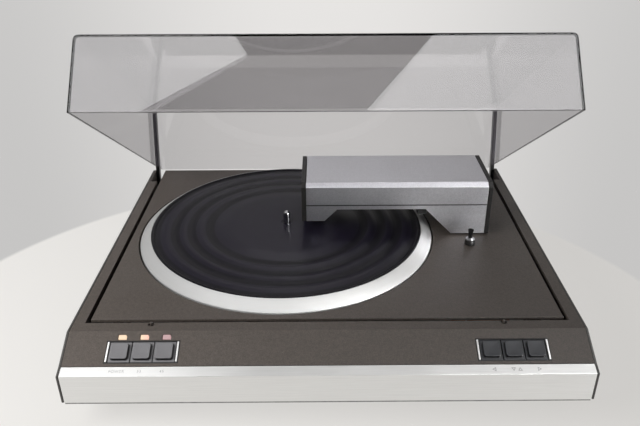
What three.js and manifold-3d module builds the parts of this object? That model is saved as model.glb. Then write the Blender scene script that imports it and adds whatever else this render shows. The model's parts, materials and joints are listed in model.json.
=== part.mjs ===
// Direct-drive turntable with a floating deck, a short arm that runs in a swivelling bridge, and an
// acrylic dust cover that stands open. Millimetres, +Z up, the front faces -Y and X runs to the right.
// In the groups below, x = 0 is the middle, y = 0 the top edge of the control slope, z = 0 the deck's top.

import * as THREE from 'three';
import { mergeGeometries, mergeVertices } from 'three/addons/utils/BufferGeometryUtils.js';
import Module from 'manifold-3d';

const wasm = await Module();
wasm.setup();

// Fits that every piece shares
const seatGap = 0.3;
const cutOver = 6;

// Plinth
const plinthWidth = 452;
const deckDepth = 345;
const slopeRun = 29.2;
const slopeDrop = 14.4;
const bevelRun = 9;
const bevelDrop = 3.5;
const fasciaDrop = 28.4;
const fasciaLean = 0.4;
const fasciaWall = 2.5;
const sidePanelWall = 2;
const deckWall = 3;
const skirtWall = 1.5;
const borderWidth = 12.3;
const frontBorder = 12;
const sideGroove = 3.7;
const frontGroove = 4.5;
const trayDrop = 15.4;
const trayWall = 1.7;
const trayFrontSetback = 32;
const trayFlange = 2;
const rearPanelWall = 2.2;
const rearDeckGap = 0.8;

// Feet
const footRadius = 21;
const footNeckRadius = 17;
const footHeight = 13;
const footInsetX = 46;
const footFrontY = 38;
const footRearY = 306;

// Control slope: two groups of three buttons, each a tile with a raised pad, their slats and the windows
const buttonInset = 68.3;
const buttonPitch = 19;
const tileWidth = 18.4;
const tileHeight = 18.4;
const tileSink = 0.5;
const tileWall = 2;
const padWidth = 14.2;
const padHeight = 14;
const padRise = 2.6;
const buttonMiddle = 19.5;
const buttonTravel = 1.5;
const stemSize = 6;
const stemLength = 7.4;
const bezelWall = 2.4;
const bezelDrop = 0.2;
const bezelMargin = 0.9;
const slatWidth = 1.5;
const slatSpace = 0.5;
const slatRise = 0.6;
const lensWidth = 7.2;
const lensHeight = 4.4;
const lensMiddle = 5.8;
const lensRise = 0.4;
const lensStripWall = 2;
const switchGap = 0.4;
const switchSize = 8;
const switchHeight = 4;
const boardWall = 1.6;
const controlBoardMargin = 10;
const controlBoardHeight = 24;

// Rear sockets
const inletInset = 76;
const inletWidth = 27;
const inletHeight = 19;
const inletFlange = 4;
const inletFlangeWall = 1.5;
const inletDepth = 18;
const inletCavityWidth = 21;
const inletCavityHeight = 13;
const inletCavityDepth = 13;
const inletPinRadius = 1.5;
const inletPinLength = 9;
const inletPinSpread = 7.5;
const socketHeightShare = 0.55;
const socketInset = 106;
const socketPitch = 18;
const socketRadius = 4.2;
const socketLength = 9;
const socketFlangeRadius = 6;
const socketFlangeWall = 2;
const socketBoreRadius = 1.6;
const socketBoreDepth = 7;
const groundInset = 61;
const groundRadius = 4.5;
const groundLength = 9;
const groundStemRadius = 2;

// Power supply and boards in the tray
const transformerInset = 76;
const transformerY = 90;
const transformerLength = 58;
const transformerWidth = 48;
const transformerHeight = 34;
const windingOverhang = 7;
const windingHeight = 24;
const mainBoardX = -60;
const mainBoardY = 150;
const mainBoardLength = 150;
const mainBoardWidth = 110;
const mainBoardLift = 4;
const boardPostRadius = 3;
const capacitorRadius = 5.5;
const capacitorHeight = 6;
const capacitorCount = 4;

// Suspension
const springRadius = 7.5;
const springWire = 1.1;
const springTurns = 4;
const springHeight = 24;
const springTop = -14;
const springInset = 32;
const springFrontY = 48;
const springRearY = 318;
const springPostRadius = 10;
const floatTravel = 1.5;

// Floating deck with the well of the platter and motor
const wellGap = 1.8;
const wellWall = 2;
const wellStep = 6;
const wellFloorWall = 2.5;
const motorWellRadius = 99;
const motorWellDepth = 21;

// Platter, mat and spindle
const platterMargin = 5.6;
const platterY = 182;
const platterRadius = 157.6;
const platterSkirt = 4.5;
const platterSkirtWall = 3;
const platterWeb = 4.5;
const matRadius = 145.5;
const matTop = 8.7;
const matWall = 3;
const matRidge = 1;
const rimBulge = 0.5;
const matRidgeShares = [0.45, 0.635, 0.765, 0.893];
const matValleyShares = [0.575, 0.71, 0.83, 0.97];
const matLipShare = 0.985;
const spindleRadius = 3.6;
const spindleRise = 14;
const spindleTip = 3;
const hubRadius = 20;
const hubDrop = 9;

// Motor and bearing
const rotorRadius = 62;
const rotorWall = 6;
const rotorHeight = 10;
const airGap = 2;
const statorHeight = 6;
const statorInner = 18;
const coilRadius = 9;
const coilHeight = 4;
const coilCircle = 38;
const coilCount = 6;
const bearingRadius = 9;
const bearingFlangeRadius = 15;
const bearingFlangeWall = 3;
const bearingTop = -9;
const bearingBottom = -45;
const thrustWall = 2;
const runningGap = 0.3;

// Bridge: its outline seen from the front, its section and its pivot
const bridgeSpindleGap = 21.8;
const bridgePivotMargin = 14;
const bridgeFront = 166.8;
const bridgeRear = 243.5;
const bridgeUnderside = 31.5;
const bridgeSeam = 36;
const bridgeShoulder = 57;
const bridgeTop = 61.3;
const bridgeBevelRun = 4.8;
const bridgeEndWall = 4.6;
const footBottom = 17.8;
const bridgeFootLength = 19.2;
const footSlantRun = 13.6;
const blockBottom = 2;
const blockReach = 21.9;
const blockSlantRun = 28.8;
const bridgeWall = 3;
const bridgeFloorWall = 2.5;
const coverWall = 2;
const pivotClearance = 42.05;
const pivotY = 210;
const postRadius = 11;
const postHeight = 29;
const pivotWall = 3;

// Carriage, its guide rod and its lead screw
const parkedGap = 0.5;
const innermostRadius = 60;
const guideRodY = 218;
const leadScrewY = 230;
const rodZ = 50;
const guideRodRadius = 2.5;
const leadScrewRadius = 2;
const leadScrewNeck = 1.2;
const rodPostInset = 4.2;
const rodPostGap = 5;
const rodPostWall = 4;
const rodPostMargin = 3;
const carriageWidth = 16;
const carriageFront = 212;
const carriageRear = 239.5;
const carriageBottom = 44;
const carriageTop = 56;
const yokeWall = 2.5;
const yokeDepth = 8;
const servoRadius = 8;
const servoLength = 20;

// Arm: pivot in the carriage, reach to the stylus and the lift
const armPivotY = 222;
const armPivotZ = 38;
const armReach = 40;
const armLift = 10.9;
const recordWall = 2;
const armWidth = 5;
const armHeight = 3;
const armHubRadius = 3;
const armPinRadius = 1;
const cartridgeWidth = 9;
const cartridgeLength = 13;
const cartridgeHeight = 12;
const stylusLength = 3;
const stylusRadius = 1;
const counterweightRadius = 3.2;
const counterweightLength = 9;

// Stylus brush on the deck
const brushInset = 5;
const brushDistance = 63;
const brushBaseRadius = 5.5;
const brushBaseHeight = 5;
const brushBaseTop = 3.8;
const ferruleRadius = 4.7;
const ferruleHeight = 1.6;
const ferruleNeck = 2.6;
const ferruleNeckHeight = 1.2;
const tuftNeckRadius = 1.9;
const tuftTopRadius = 3;
const tuftTop = 18.2;
const tuftBacking = 1;
const bristleRadius = 0.07;
const bristleCount = 300;
const bristleSides = 3;

// Dust cover, given as it lies when closed, and its hinge
const coverInset = 1;
const coverRimLift = 2.8;
const coverHeight = 73.2;
const coverFrontY = 7.9;
const coverFrontLean = 10.5;
const coverTopRearY = 296;
const coverRearY = 352;
const acrylicWall = 3;
const coverCorner = 5;
const hingeY = 336;
const hingeZ = -50;
const coverOpening = 32;
const hingeArmWall = 4.5;
const hingeArmHalfWidth = 3.2;
const hingeEyeRadius = 5.2;
const hingePinRadius = 2.6;
const hingeKneeY = 313.5;
const hingeKneeZ = 5;
const hingeTopY = 293;
const hingeRecessY = 309.5;
const hingeEarWall = 3;
const hingeBaseWall = 2;
const hingeBaseLength = 20;
const bumperRadius = 2.5;
const bumperSink = 1.5;
const bumperInset = 71;

// Facets of the round pieces
const bigRound = 64;
const midRound = 24;
const smallRound = 12;
const cornerSteps = 3;
const springSteps = 8;
const springSides = 5;

// Levels and edges that follow from the sizes
const halfWidth = plinthWidth / 2;
const buttonGroupX = halfWidth - buttonInset;
const inletX = inletInset - halfWidth;
const socketX = halfWidth - socketInset;
const groundX = halfWidth - groundInset;
const transformerX = halfWidth - transformerInset;
const bumperX = halfWidth - bumperInset;
const shellHalf = halfWidth - sidePanelWall - seatGap;
const shellBottom = -(slopeDrop + bevelDrop + fasciaDrop);
const trayTop = shellBottom - seatGap;
const trayBottom = trayTop - trayDrop;
const trayFloor = trayBottom + trayWall;
const noseY = -(slopeRun + bevelRun);
const noseZ = -(slopeDrop + bevelDrop);
const grooveX = halfWidth - borderWidth;
const deckHalf = grooveX - sideGroove;
const deckFrontY = frontBorder + frontGroove;
const deckRearY = deckDepth - rearDeckGap;
const slopeAngle = Math.atan2(slopeDrop, slopeRun);
const wellRadius = platterRadius + wellGap;
const rearPanelTop = -(wellStep + wellFloorWall + 2 * floatTravel);
const platterX = platterMargin + wellRadius + wellWall - deckHalf;
const pivotX = platterX + platterRadius + pivotClearance;
const bridgeLeft = platterX + bridgeSpindleGap;
const bridgeRight = pivotX + bridgePivotMargin;
const footInner = bridgeLeft + bridgeFootLength;
const blockInner = pivotX - blockReach;
const parkedX = platterX + matRadius + parkedGap;
const rodPostLeft = bridgeLeft + rodPostInset;
const rodPostRight = parkedX + carriageWidth / 2 + rodPostGap;
const brushX = pivotX - brushInset;
const brushY = pivotY - brushDistance;
const webTop = matTop - matWall - seatGap;
const webBottom = webTop - platterWeb;
const capsHalf = buttonPitch + tileWidth / 2 + seatGap;
const bezelHalf = capsHalf + slatWidth + 2 * slatSpace;
const stemEnd = -tileSink - tileWall - stemLength;
const controlBoardHalf = buttonGroupX + bezelHalf + controlBoardMargin;
const innermostX = platterX + innermostRadius;
const coverTop = coverRimLift + coverHeight;
const coverWidth = plinthWidth - 2 * coverInset;
const hingeArmOuter = coverWidth / 2 - acrylicWall - seatGap;
const hingeArmInner = hingeArmOuter - hingeArmWall;
const recessOuter = hingeArmOuter + seatGap;

// Materials, as the photograph shows them
function finish(color, roughness, metalness, extra = {}) {
  return new THREE.MeshStandardMaterial({ color, roughness, metalness, ...extra });
}
const satinAluminium = finish(0xc8c6c1, 0.35, 0.9);
const silverPaint = finish(0xa4a4a6, 0.4, 0.7);
const speckledPaint = finish(0x55504c, 0.6, 0.2);
const blackPlastic = finish(0x1c1c1e, 0.5, 0);
const darkPlastic = finish(0x3c3a3c, 0.5, 0);
const greyCap = finish(0x828284, 0.5, 0);
const darkCap = finish(0x2c3036, 0.5, 0);
const steel = finish(0x9a9a9c, 0.3, 1);
const zincSheet = finish(0x8e8e8c, 0.5, 0.8);
const rubber = finish(0x2a282b, 0.8, 0);
const copper = finish(0x9a5a30, 0.4, 0.9);
const boardGreen = finish(0x2e5a3a, 0.6, 0);
const brass = finish(0xb08d4a, 0.35, 1);
const bristleBlack = finish(0x101012, 0.7, 0);
const smokedAcrylic = finish(0x8c8a8c, 0.1, 0, { transparent: true, opacity: 0.35 });
const lampOrange = finish(0xffb070, 0.3, 0);

// A closed geometry as a solid for joining and cutting, without the flat triangles at its poles
function solid(geometry) {
  const bare = geometry.clone();
  bare.deleteAttribute('normal');
  bare.deleteAttribute('uv');
  const merged = mergeVertices(bare);
  const corners = merged.index.array;
  const kept = [];
  for (let i = 0; i < corners.length; i += 3) {
    const [a, b, c] = [corners[i], corners[i + 1], corners[i + 2]];
    if (a !== b && b !== c && c !== a) kept.push(a, b, c);
  }
  const vertProperties = new Float32Array(merged.attributes.position.array);
  return new wasm.Manifold(new wasm.Mesh({ numProp: 3, vertProperties,
    triVerts: new Uint32Array(kept) }));
}

function geometryOf(body) {
  const mesh = body.getMesh();
  const geometry = new THREE.BufferGeometry();
  geometry.setAttribute('position', new THREE.BufferAttribute(new Float32Array(mesh.vertProperties), 3));
  geometry.setIndex(new THREE.BufferAttribute(new Uint32Array(mesh.triVerts), 1));
  const faceted = geometry.toNonIndexed();
  faceted.computeVertexNormals();
  return faceted;
}

function join(first, ...others) {
  return others.reduce((body, other) => body.add(other), first);
}

function cut(first, ...others) {
  return others.reduce((body, other) => body.subtract(other), first);
}

function box(x0, x1, y0, y1, z0, z1) {
  const geometry = new THREE.BoxGeometry(x1 - x0, y1 - y0, z1 - z0);
  return solid(geometry.translate((x0 + x1) / 2, (y0 + y1) / 2, (z0 + z1) / 2));
}

function outline(points) {
  return new THREE.Shape(points.map(([a, b]) => new THREE.Vector2(a, b)));
}

// A side outline of [y, z] points carried along X, and a front one of [x, z] points along Y
const axisX = new THREE.Vector3(1, 0, 0);
const axisY = new THREE.Vector3(0, 1, 0);
const axisZ = new THREE.Vector3(0, 0, 1);

function alongX(points, x0, x1) {
  const geometry = new THREE.ExtrudeGeometry(outline(points), { depth: x1 - x0, bevelEnabled: false });
  geometry.applyMatrix4(new THREE.Matrix4().makeBasis(axisY, axisZ, axisX));
  return solid(geometry.translate(x0, 0, 0));
}

function alongY(points, y0, y1) {
  const geometry = new THREE.ExtrudeGeometry(outline(points), { depth: y1 - y0, bevelEnabled: false });
  geometry.applyMatrix4(new THREE.Matrix4().makeBasis(axisX, axisZ, axisY.clone().negate()));
  return solid(geometry.translate(0, y1, 0));
}

// A profile of [radius, z] points turned about the vertical axis; it starts and ends on the axis or closes
function turned(profile, facets) {
  const points = profile.map(([r, z]) => new THREE.Vector2(r, z));
  if (THREE.ShapeUtils.isClockWise(points)) points.reverse();
  const geometry = new THREE.LatheGeometry(points, facets);
  return solid(geometry.rotateX(Math.PI / 2));
}

function ring(profile, facets) {
  return turned([...profile, profile[0]], facets);
}

function rod(radius, z0, z1, facets = smallRound) {
  const geometry = new THREE.CylinderGeometry(radius, radius, z1 - z0, facets);
  return solid(geometry.rotateX(Math.PI / 2).translate(0, 0, (z0 + z1) / 2));
}

function rodAlongX(radius, x0, x1, y, z, facets = smallRound) {
  const geometry = new THREE.CylinderGeometry(radius, radius, x1 - x0, facets);
  return solid(geometry.rotateZ(Math.PI / 2).translate((x0 + x1) / 2, y, z));
}

function rodAlongY(radius, y0, y1, x, z, facets = smallRound) {
  const geometry = new THREE.CylinderGeometry(radius, radius, y1 - y0, facets);
  return solid(geometry.translate(x, (y0 + y1) / 2, z));
}

function mirrored(body) {
  return body.mirror([1, 0, 0]);
}

function piece(group, name, body, material) {
  const mesh = new THREE.Mesh(geometryOf(body), material);
  mesh.name = name;
  group.add(mesh);
  return mesh;
}

const model = new THREE.Group();
const deck = new THREE.Group();
model.add(deck);

// Plinth: sides, fascia, frame with the control slope, rear panel and tray
function sideOutline() {
  return [[0, 0], [deckDepth, 0], [deckDepth, shellBottom], [noseY + fasciaLean, shellBottom],
    [noseY, noseZ], [-slopeRun, -slopeDrop]];
}

function buildSides() {
  const panel = alongX(sideOutline(), halfWidth - sidePanelWall, halfWidth);
  piece(deck, 'side_panel_right', panel, darkPlastic);
  piece(deck, 'side_panel_left', mirrored(panel), darkPlastic);
}

function buildFascia() {
  const startY = -slopeRun - seatGap * Math.cos(slopeAngle);
  const startZ = -slopeDrop - seatGap * Math.sin(slopeAngle);
  const inset = fasciaWall;
  const profile = [[startY, startZ], [noseY, noseZ], [noseY + fasciaLean, shellBottom],
    [noseY + fasciaLean + inset, shellBottom], [noseY + inset, noseZ - inset / 2],
    [startY, startZ - inset]];
  piece(deck, 'front_fascia', alongX(profile, -shellHalf, shellHalf), satinAluminium);
}

function slopeToDeck(body) {
  return body.rotate([THREE.MathUtils.radToDeg(slopeAngle), 0, 0]);
}

function buttonCentres(side) {
  return [-1, 0, 1].map((step) => side * buttonGroupX + step * buttonPitch);
}

function slopeOpenings() {
  const cuts = [];
  for (const side of [-1, 1]) {
    const middle = side * buttonGroupX;
    cuts.push(box(middle - bezelHalf - seatGap, middle + bezelHalf + seatGap,
      -buttonMiddle - tileHeight / 2 - bezelMargin - seatGap,
      -buttonMiddle + tileHeight / 2 + bezelMargin + seatGap, -deckWall - cutOver, cutOver));
  }
  for (const x of buttonCentres(-1)) {
    cuts.push(box(x - lensWidth / 2 - seatGap, x + lensWidth / 2 + seatGap,
      -lensMiddle - lensHeight / 2 - seatGap, -lensMiddle + lensHeight / 2 + seatGap,
      -deckWall - cutOver, cutOver));
  }
  return cuts.map(slopeToDeck);
}

function buildFrame() {
  const plate = box(-shellHalf, shellHalf, 0, deckDepth - seatGap, -deckWall, 0);
  const inner = box(-grooveX, grooveX, frontBorder, deckDepth + cutOver, -deckWall - cutOver, cutOver);
  const skirt = box(shellHalf - skirtWall, shellHalf, 0, deckDepth - seatGap, shellBottom, 0);
  const frontWall = box(-shellHalf, shellHalf, frontBorder - deckWall, frontBorder, shellBottom, 0);
  const cosine = Math.cos(slopeAngle);
  const sine = Math.sin(slopeAngle);
  const slope = alongX([[0, 0], [-slopeRun, -slopeDrop],
    [-slopeRun + deckWall * sine, -slopeDrop - deckWall * cosine],
    [deckWall * sine, -deckWall * cosine], [deckWall, -deckWall], [deckWall, 0]],
  -shellHalf, shellHalf);
  const recess = box(grooveX - cutOver, recessOuter, hingeRecessY, deckDepth + cutOver,
    shellBottom - cutOver, cutOver);
  const bumpers = [-bumperX, bumperX].map((x) => rod(bumperRadius + seatGap, -bumperSink - seatGap,
    cutOver)
    .translate([x, coverFrontY + acrylicWall / 2, 0]));
  const body = join(cut(plate, inner), skirt, mirrored(skirt), frontWall, slope);
  piece(deck, 'top_frame', cut(body, recess, mirrored(recess), ...bumpers, ...slopeOpenings()),
    speckledPaint);
}

function buildRearPanel() {
  const top = rearPanelTop;
  const middle = rearMiddle();
  const y1 = deckDepth - seatGap;
  const y0 = y1 - rearPanelWall;
  const half = hingeArmInner - 2 * seatGap;
  const plate = box(-half, half, y0, y1, shellBottom, top);
  const inletHole = box(inletX - inletWidth / 2 - seatGap, inletX + inletWidth / 2 + seatGap,
    y0 - cutOver, y1 + cutOver,
    middle - inletHeight / 2 - seatGap, middle + inletHeight / 2 + seatGap);
  const socketHoles = socketCentres().map((x) => rodAlongY(socketRadius + seatGap, y0 - cutOver,
    y1 + cutOver, x, middle));
  const groundHole = rodAlongY(groundStemRadius + seatGap, y0 - cutOver, y1 + cutOver, groundX, middle);
  piece(deck, 'rear_panel', cut(plate, inletHole, ...socketHoles, groundHole), darkPlastic);
}

function rearMiddle() {
  return rearPanelTop + socketHeightShare * (shellBottom - rearPanelTop);
}

function socketCentres() {
  return [socketX - socketPitch / 2, socketX + socketPitch / 2];
}

function buildSockets() {
  const face = deckDepth;
  const z = rearMiddle();
  const flangeBack = face + inletFlangeWall;
  const bodyBox = box(inletX - inletWidth / 2, inletX + inletWidth / 2, flangeBack - inletDepth,
    flangeBack,
    z - inletHeight / 2, z + inletHeight / 2);
  const flange = box(inletX - inletWidth / 2 - inletFlange, inletX + inletWidth / 2 + inletFlange, face,
    flangeBack,
    z - inletHeight / 2 - inletFlange / 2, z + inletHeight / 2 + inletFlange / 2);
  const cavity = box(inletX - inletCavityWidth / 2, inletX + inletCavityWidth / 2,
    flangeBack - inletCavityDepth,
    flangeBack + cutOver, z - inletCavityHeight / 2, z + inletCavityHeight / 2);
  const pins = [-1, 1].map((side) => rodAlongY(inletPinRadius,
    flangeBack - inletCavityDepth - inletPinRadius,
    flangeBack - inletCavityDepth + inletPinLength, inletX + side * inletPinSpread, z));
  piece(deck, 'mains_inlet', join(cut(join(bodyBox, flange), cavity), ...pins), blackPlastic);

  const sockets = socketCentres().map((x) => {
    const barrel = rodAlongY(socketRadius, face - rearPanelWall - socketFlangeWall, face + socketLength,
      x, z);
    const collar = rodAlongY(socketFlangeRadius, face, face + 2 * socketFlangeWall, x, z);
    const bore = rodAlongY(socketBoreRadius, face + socketLength - socketBoreDepth,
      face + socketLength + cutOver, x, z);
    return cut(join(barrel, collar), bore);
  });
  const socketHalf = socketPitch / 2 + socketFlangeRadius + socketFlangeWall;
  const plate = box(socketX - socketHalf, socketX + socketHalf, face, face + socketFlangeWall,
    z - socketFlangeRadius - socketFlangeWall, z + socketFlangeRadius + socketFlangeWall);
  piece(deck, 'output_sockets', join(plate, ...sockets), brass);

  const knob = rodAlongY(groundRadius, face, face + groundLength, groundX, z);
  const stem = rodAlongY(groundStemRadius, face - rearPanelWall - socketFlangeWall, face + seatGap,
    groundX, z);
  piece(deck, 'ground_terminal', join(knob, stem), brass);
}

function springCentres() {
  const x = halfWidth - springInset;
  return [[-x, springFrontY], [x, springFrontY], [-x, springRearY], [x, springRearY]];
}

function buildTray() {
  const front = noseY + trayFrontSetback;
  const half = shellHalf;
  const rear = deckDepth - seatGap;
  const outer = box(-half, half, front, rear, trayBottom, trayTop);
  const inner = box(-half + trayWall, half - trayWall, front + trayWall, rear - trayWall, trayFloor,
    trayTop + cutOver);
  const flange = box(-half, half, noseY + fasciaLean + fasciaWall / 2, front + trayWall,
    trayTop - trayFlange, trayTop);
  const posts = springCentres().map(([x, y]) => rod(springPostRadius, trayBottom + trayWall / 2,
    springTop - springHeight - seatGap, midRound).translate([x, y, 0]));
  piece(deck, 'base_tray', join(cut(outer, inner), flange, ...posts), zincSheet);
}

function footCentres() {
  const x = halfWidth - footInsetX;
  return { foot_front_left: [-x, footFrontY], foot_front_right: [x, footFrontY],
    foot_rear_left: [-x, footRearY], foot_rear_right: [x, footRearY] };
}

function buildFeet() {
  const top = trayBottom - seatGap;
  for (const [name, [x, y]] of Object.entries(footCentres())) {
    const foot = turned([[0, top - footHeight], [footNeckRadius, top - footHeight],
      [footRadius, top - footHeight / 2], [footRadius, top], [0, top]], midRound);
    piece(deck, name, foot.translate([x, y, 0]), rubber);
  }
}

function buildPowerSupply() {
  const floor = trayFloor + seatGap;
  const core = box(-transformerLength / 2, transformerLength / 2, -transformerWidth / 2,
    transformerWidth / 2,
    0, transformerHeight);
  const windingBase = (transformerHeight - windingHeight) / 2;
  const winding = box(-transformerLength / 4, transformerLength / 4,
    -transformerWidth / 2 - windingOverhang,
    transformerWidth / 2 + windingOverhang, windingBase, windingBase + windingHeight);
  piece(deck, 'transformer', join(core, winding).translate([transformerX, transformerY, floor]), copper);

  const board = box(-mainBoardLength / 2, mainBoardLength / 2, -mainBoardWidth / 2, mainBoardWidth / 2,
    mainBoardLift, mainBoardLift + boardWall);
  const posts = [];
  for (const sx of [-1, 1]) {
    for (const sy of [-1, 1]) {
      posts.push(rod(boardPostRadius, 0, mainBoardLift + boardWall / 2).translate([
        sx * (mainBoardLength / 2 - 2 * boardPostRadius), sy * (mainBoardWidth / 2 - 2 * boardPostRadius),
          0]));
    }
  }
  const capacitorPitch = mainBoardLength / (capacitorCount + 1);
  for (let i = 1; i <= capacitorCount; i += 1) {
    posts.push(rod(capacitorRadius, mainBoardLift + boardWall / 2,
      mainBoardLift + boardWall + capacitorHeight)
      .translate([-mainBoardLength / 2 + i * capacitorPitch, -mainBoardWidth / 2 + 3 * capacitorRadius,
        0]));
  }
  piece(deck, 'main_board', join(board, ...posts).translate([mainBoardX, mainBoardY, floor]), boardGreen);
}

// A spring as one wire along a helix, its end turns drawn flat
function springCoil() {
  class Helix extends THREE.Curve {
    getPoint(t, target = new THREE.Vector3()) {
      const angle = 2 * Math.PI * springTurns * t;
      const rise = springHeight - 2 * springWire;
      return target.set(springRadius * Math.cos(angle), springRadius * Math.sin(angle),
        springWire + rise * t);
    }
  }
  const section = new THREE.Shape(Array.from({ length: springSides }, (_, i) => {
    const angle = 2 * Math.PI * i / springSides;
    return new THREE.Vector2(springWire * Math.cos(angle), springWire * Math.sin(angle));
  }));
  return new THREE.ExtrudeGeometry(section,
    { steps: springTurns * springSteps, extrudePath: new Helix(), bevelEnabled: false });
}

function buildSprings() {
  const coil = solid(springCoil());
  const names = ['spring_front_left', 'spring_front_right', 'spring_rear_left', 'spring_rear_right'];
  springCentres().forEach(([x, y], i) => {
    piece(deck, names[i], coil.translate([x, y, springTop - springHeight]), steel);
  });
}

// Control slope: everything in this group is laid on the slope, y up it and z out of it
const slopeGroup = new THREE.Group();
slopeGroup.rotation.x = slopeAngle;
deck.add(slopeGroup);

function buildBezel(side) {
  const middle = side * buttonGroupX;
  const low = -buttonMiddle - tileHeight / 2;
  const high = -buttonMiddle + tileHeight / 2;
  const plate = box(middle - bezelHalf, middle + bezelHalf, low - bezelMargin, high + bezelMargin,
    -bezelDrop - bezelWall, -bezelDrop);
  const opening = box(middle - capsHalf, middle + capsHalf, low - seatGap, high + seatGap,
    -bezelDrop - bezelWall - cutOver, cutOver);
  const slat = box(-slatWidth / 2, slatWidth / 2, low, high, -bezelDrop - bezelWall / 2, slatRise);
  const slats = [-1, 1].map((end) => slat.translate([middle + end * (capsHalf + slatSpace + slatWidth / 2),
    0, 0]));
  piece(slopeGroup, side < 0 ? 'button_bezel_left' : 'button_bezel_right',
    join(cut(plate, opening), ...slats), blackPlastic);
}

function buildButton(name, x, material) {
  const tile = box(x - tileWidth / 2, x + tileWidth / 2, -buttonMiddle - tileHeight / 2,
    -buttonMiddle + tileHeight / 2, -tileSink - tileWall, -tileSink);
  const pad = box(x - padWidth / 2, x + padWidth / 2, -buttonMiddle - padHeight / 2,
    -buttonMiddle + padHeight / 2, -tileSink - tileWall / 2, padRise);
  const stem = box(x - stemSize / 2, x + stemSize / 2, -buttonMiddle - stemSize / 2,
    -buttonMiddle + stemSize / 2, stemEnd, -tileSink - tileWall / 2);
  piece(slopeGroup, name, join(tile, pad, stem), material);
}

function buildControls() {
  buildBezel(-1);
  buildBezel(1);
  const left = ['button_power', 'button_speed_low', 'button_speed_high'];
  const right = ['button_arm_back', 'button_lift', 'button_arm_in'];
  buttonCentres(-1).forEach((x, i) => buildButton(left[i], x, greyCap));
  buttonCentres(1).forEach((x, i) => buildButton(right[i], x, darkCap));
  const lenses = buttonCentres(-1).map((x) => box(x - lensWidth / 2, x + lensWidth / 2,
    -lensMiddle - lensHeight / 2, -lensMiddle + lensHeight / 2, -deckWall - seatGap - lensStripWall / 2,
      lensRise));
  const strip = box(-buttonGroupX - buttonPitch - lensWidth, -buttonGroupX + buttonPitch + lensWidth,
    -lensMiddle - lensHeight / 2, -lensMiddle + lensHeight / 2, -deckWall - seatGap - lensStripWall,
      -deckWall - seatGap);
  piece(slopeGroup, 'indicator_lenses', join(strip, ...lenses), lampOrange);

  const switchTop = stemEnd - buttonTravel - switchGap;
  const boardTop = switchTop - switchHeight;
  const board = box(-controlBoardHalf, controlBoardHalf, -buttonMiddle - controlBoardHeight / 2,
    -buttonMiddle + controlBoardHeight / 2, boardTop - boardWall, boardTop);
  const switches = [...buttonCentres(-1), ...buttonCentres(1)].map((x) => box(x - switchSize / 2,
    x + switchSize / 2,
    -buttonMiddle - switchSize / 2, -buttonMiddle + switchSize / 2, boardTop - boardWall / 2, switchTop));
  const struts = [-1, 1].map((end) => box(end * controlBoardHalf - stemSize / 2,
    end * controlBoardHalf + stemSize / 2,
    -buttonMiddle - stemSize / 2, -buttonMiddle + stemSize / 2, boardTop - boardWall,
      -deckWall - seatGap));
  piece(slopeGroup, 'control_board', join(board, ...switches, ...struts), boardGreen);
}

// Floating deck, motor stator, bearing, bridge post and stylus brush
function wellRing() {
  return ring([[wellRadius, 0], [wellRadius + wellWall, 0], [wellRadius + wellWall,
    -wellStep - wellFloorWall],
    [motorWellRadius + wellFloorWall, -wellStep - wellFloorWall],
    [motorWellRadius + wellFloorWall, -motorWellDepth - wellFloorWall],
    [bearingRadius + seatGap, -motorWellDepth - wellFloorWall],
      [bearingRadius + seatGap, -motorWellDepth],
    [motorWellRadius, -motorWellDepth], [motorWellRadius, -wellStep], [wellRadius, -wellStep]], bigRound)
    .translate([platterX, platterY, 0]);
}

function buildSubchassis() {
  const plate = box(-deckHalf, deckHalf, deckFrontY, deckRearY, -deckWall, 0);
  const hole = rod(wellRadius + wellWall / 2, -deckWall - cutOver, cutOver,
    bigRound).translate([platterX, platterY, 0]);
  const posts = springCentres().map(([x, y]) => rod(springPostRadius, springTop + seatGap, -deckWall / 2,
    midRound)
    .translate([x, y, 0]));
  piece(deck, 'subchassis', join(cut(join(plate, ...posts), hole), wellRing()), speckledPaint);
}

const platterGroup = new THREE.Group();
platterGroup.position.set(platterX, platterY, 0);
deck.add(platterGroup);

function buildMotor() {
  const floor = -motorWellDepth + seatGap;
  const inner = rotorRadius - rotorWall - airGap;
  const core = ring([[statorInner, floor], [inner, floor], [inner, floor + statorHeight],
    [statorInner, floor + statorHeight]], midRound);
  const coils = Array.from({ length: coilCount }, (_, i) => {
    const angle = 2 * Math.PI * i / coilCount;
    return rod(coilRadius, floor + statorHeight / 2, floor + statorHeight + coilHeight, smallRound)
      .translate([coilCircle * Math.cos(angle), coilCircle * Math.sin(angle), 0]);
  });
  piece(platterGroup, 'motor_stator', join(core, ...coils), copper);

  const flangeBottom = -motorWellDepth + seatGap;
  const bore = spindleRadius + runningGap;
  piece(platterGroup, 'bearing_housing', turned([[0, bearingBottom], [bearingRadius, bearingBottom],
    [bearingRadius, flangeBottom], [bearingFlangeRadius, flangeBottom],
    [bearingFlangeRadius, flangeBottom + bearingFlangeWall], [bearingRadius,
      flangeBottom + bearingFlangeWall],
    [bearingRadius, bearingTop], [bore, bearingTop], [bore, bearingBottom + thrustWall],
    [0, bearingBottom + thrustWall]], midRound), brass);
}

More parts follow.
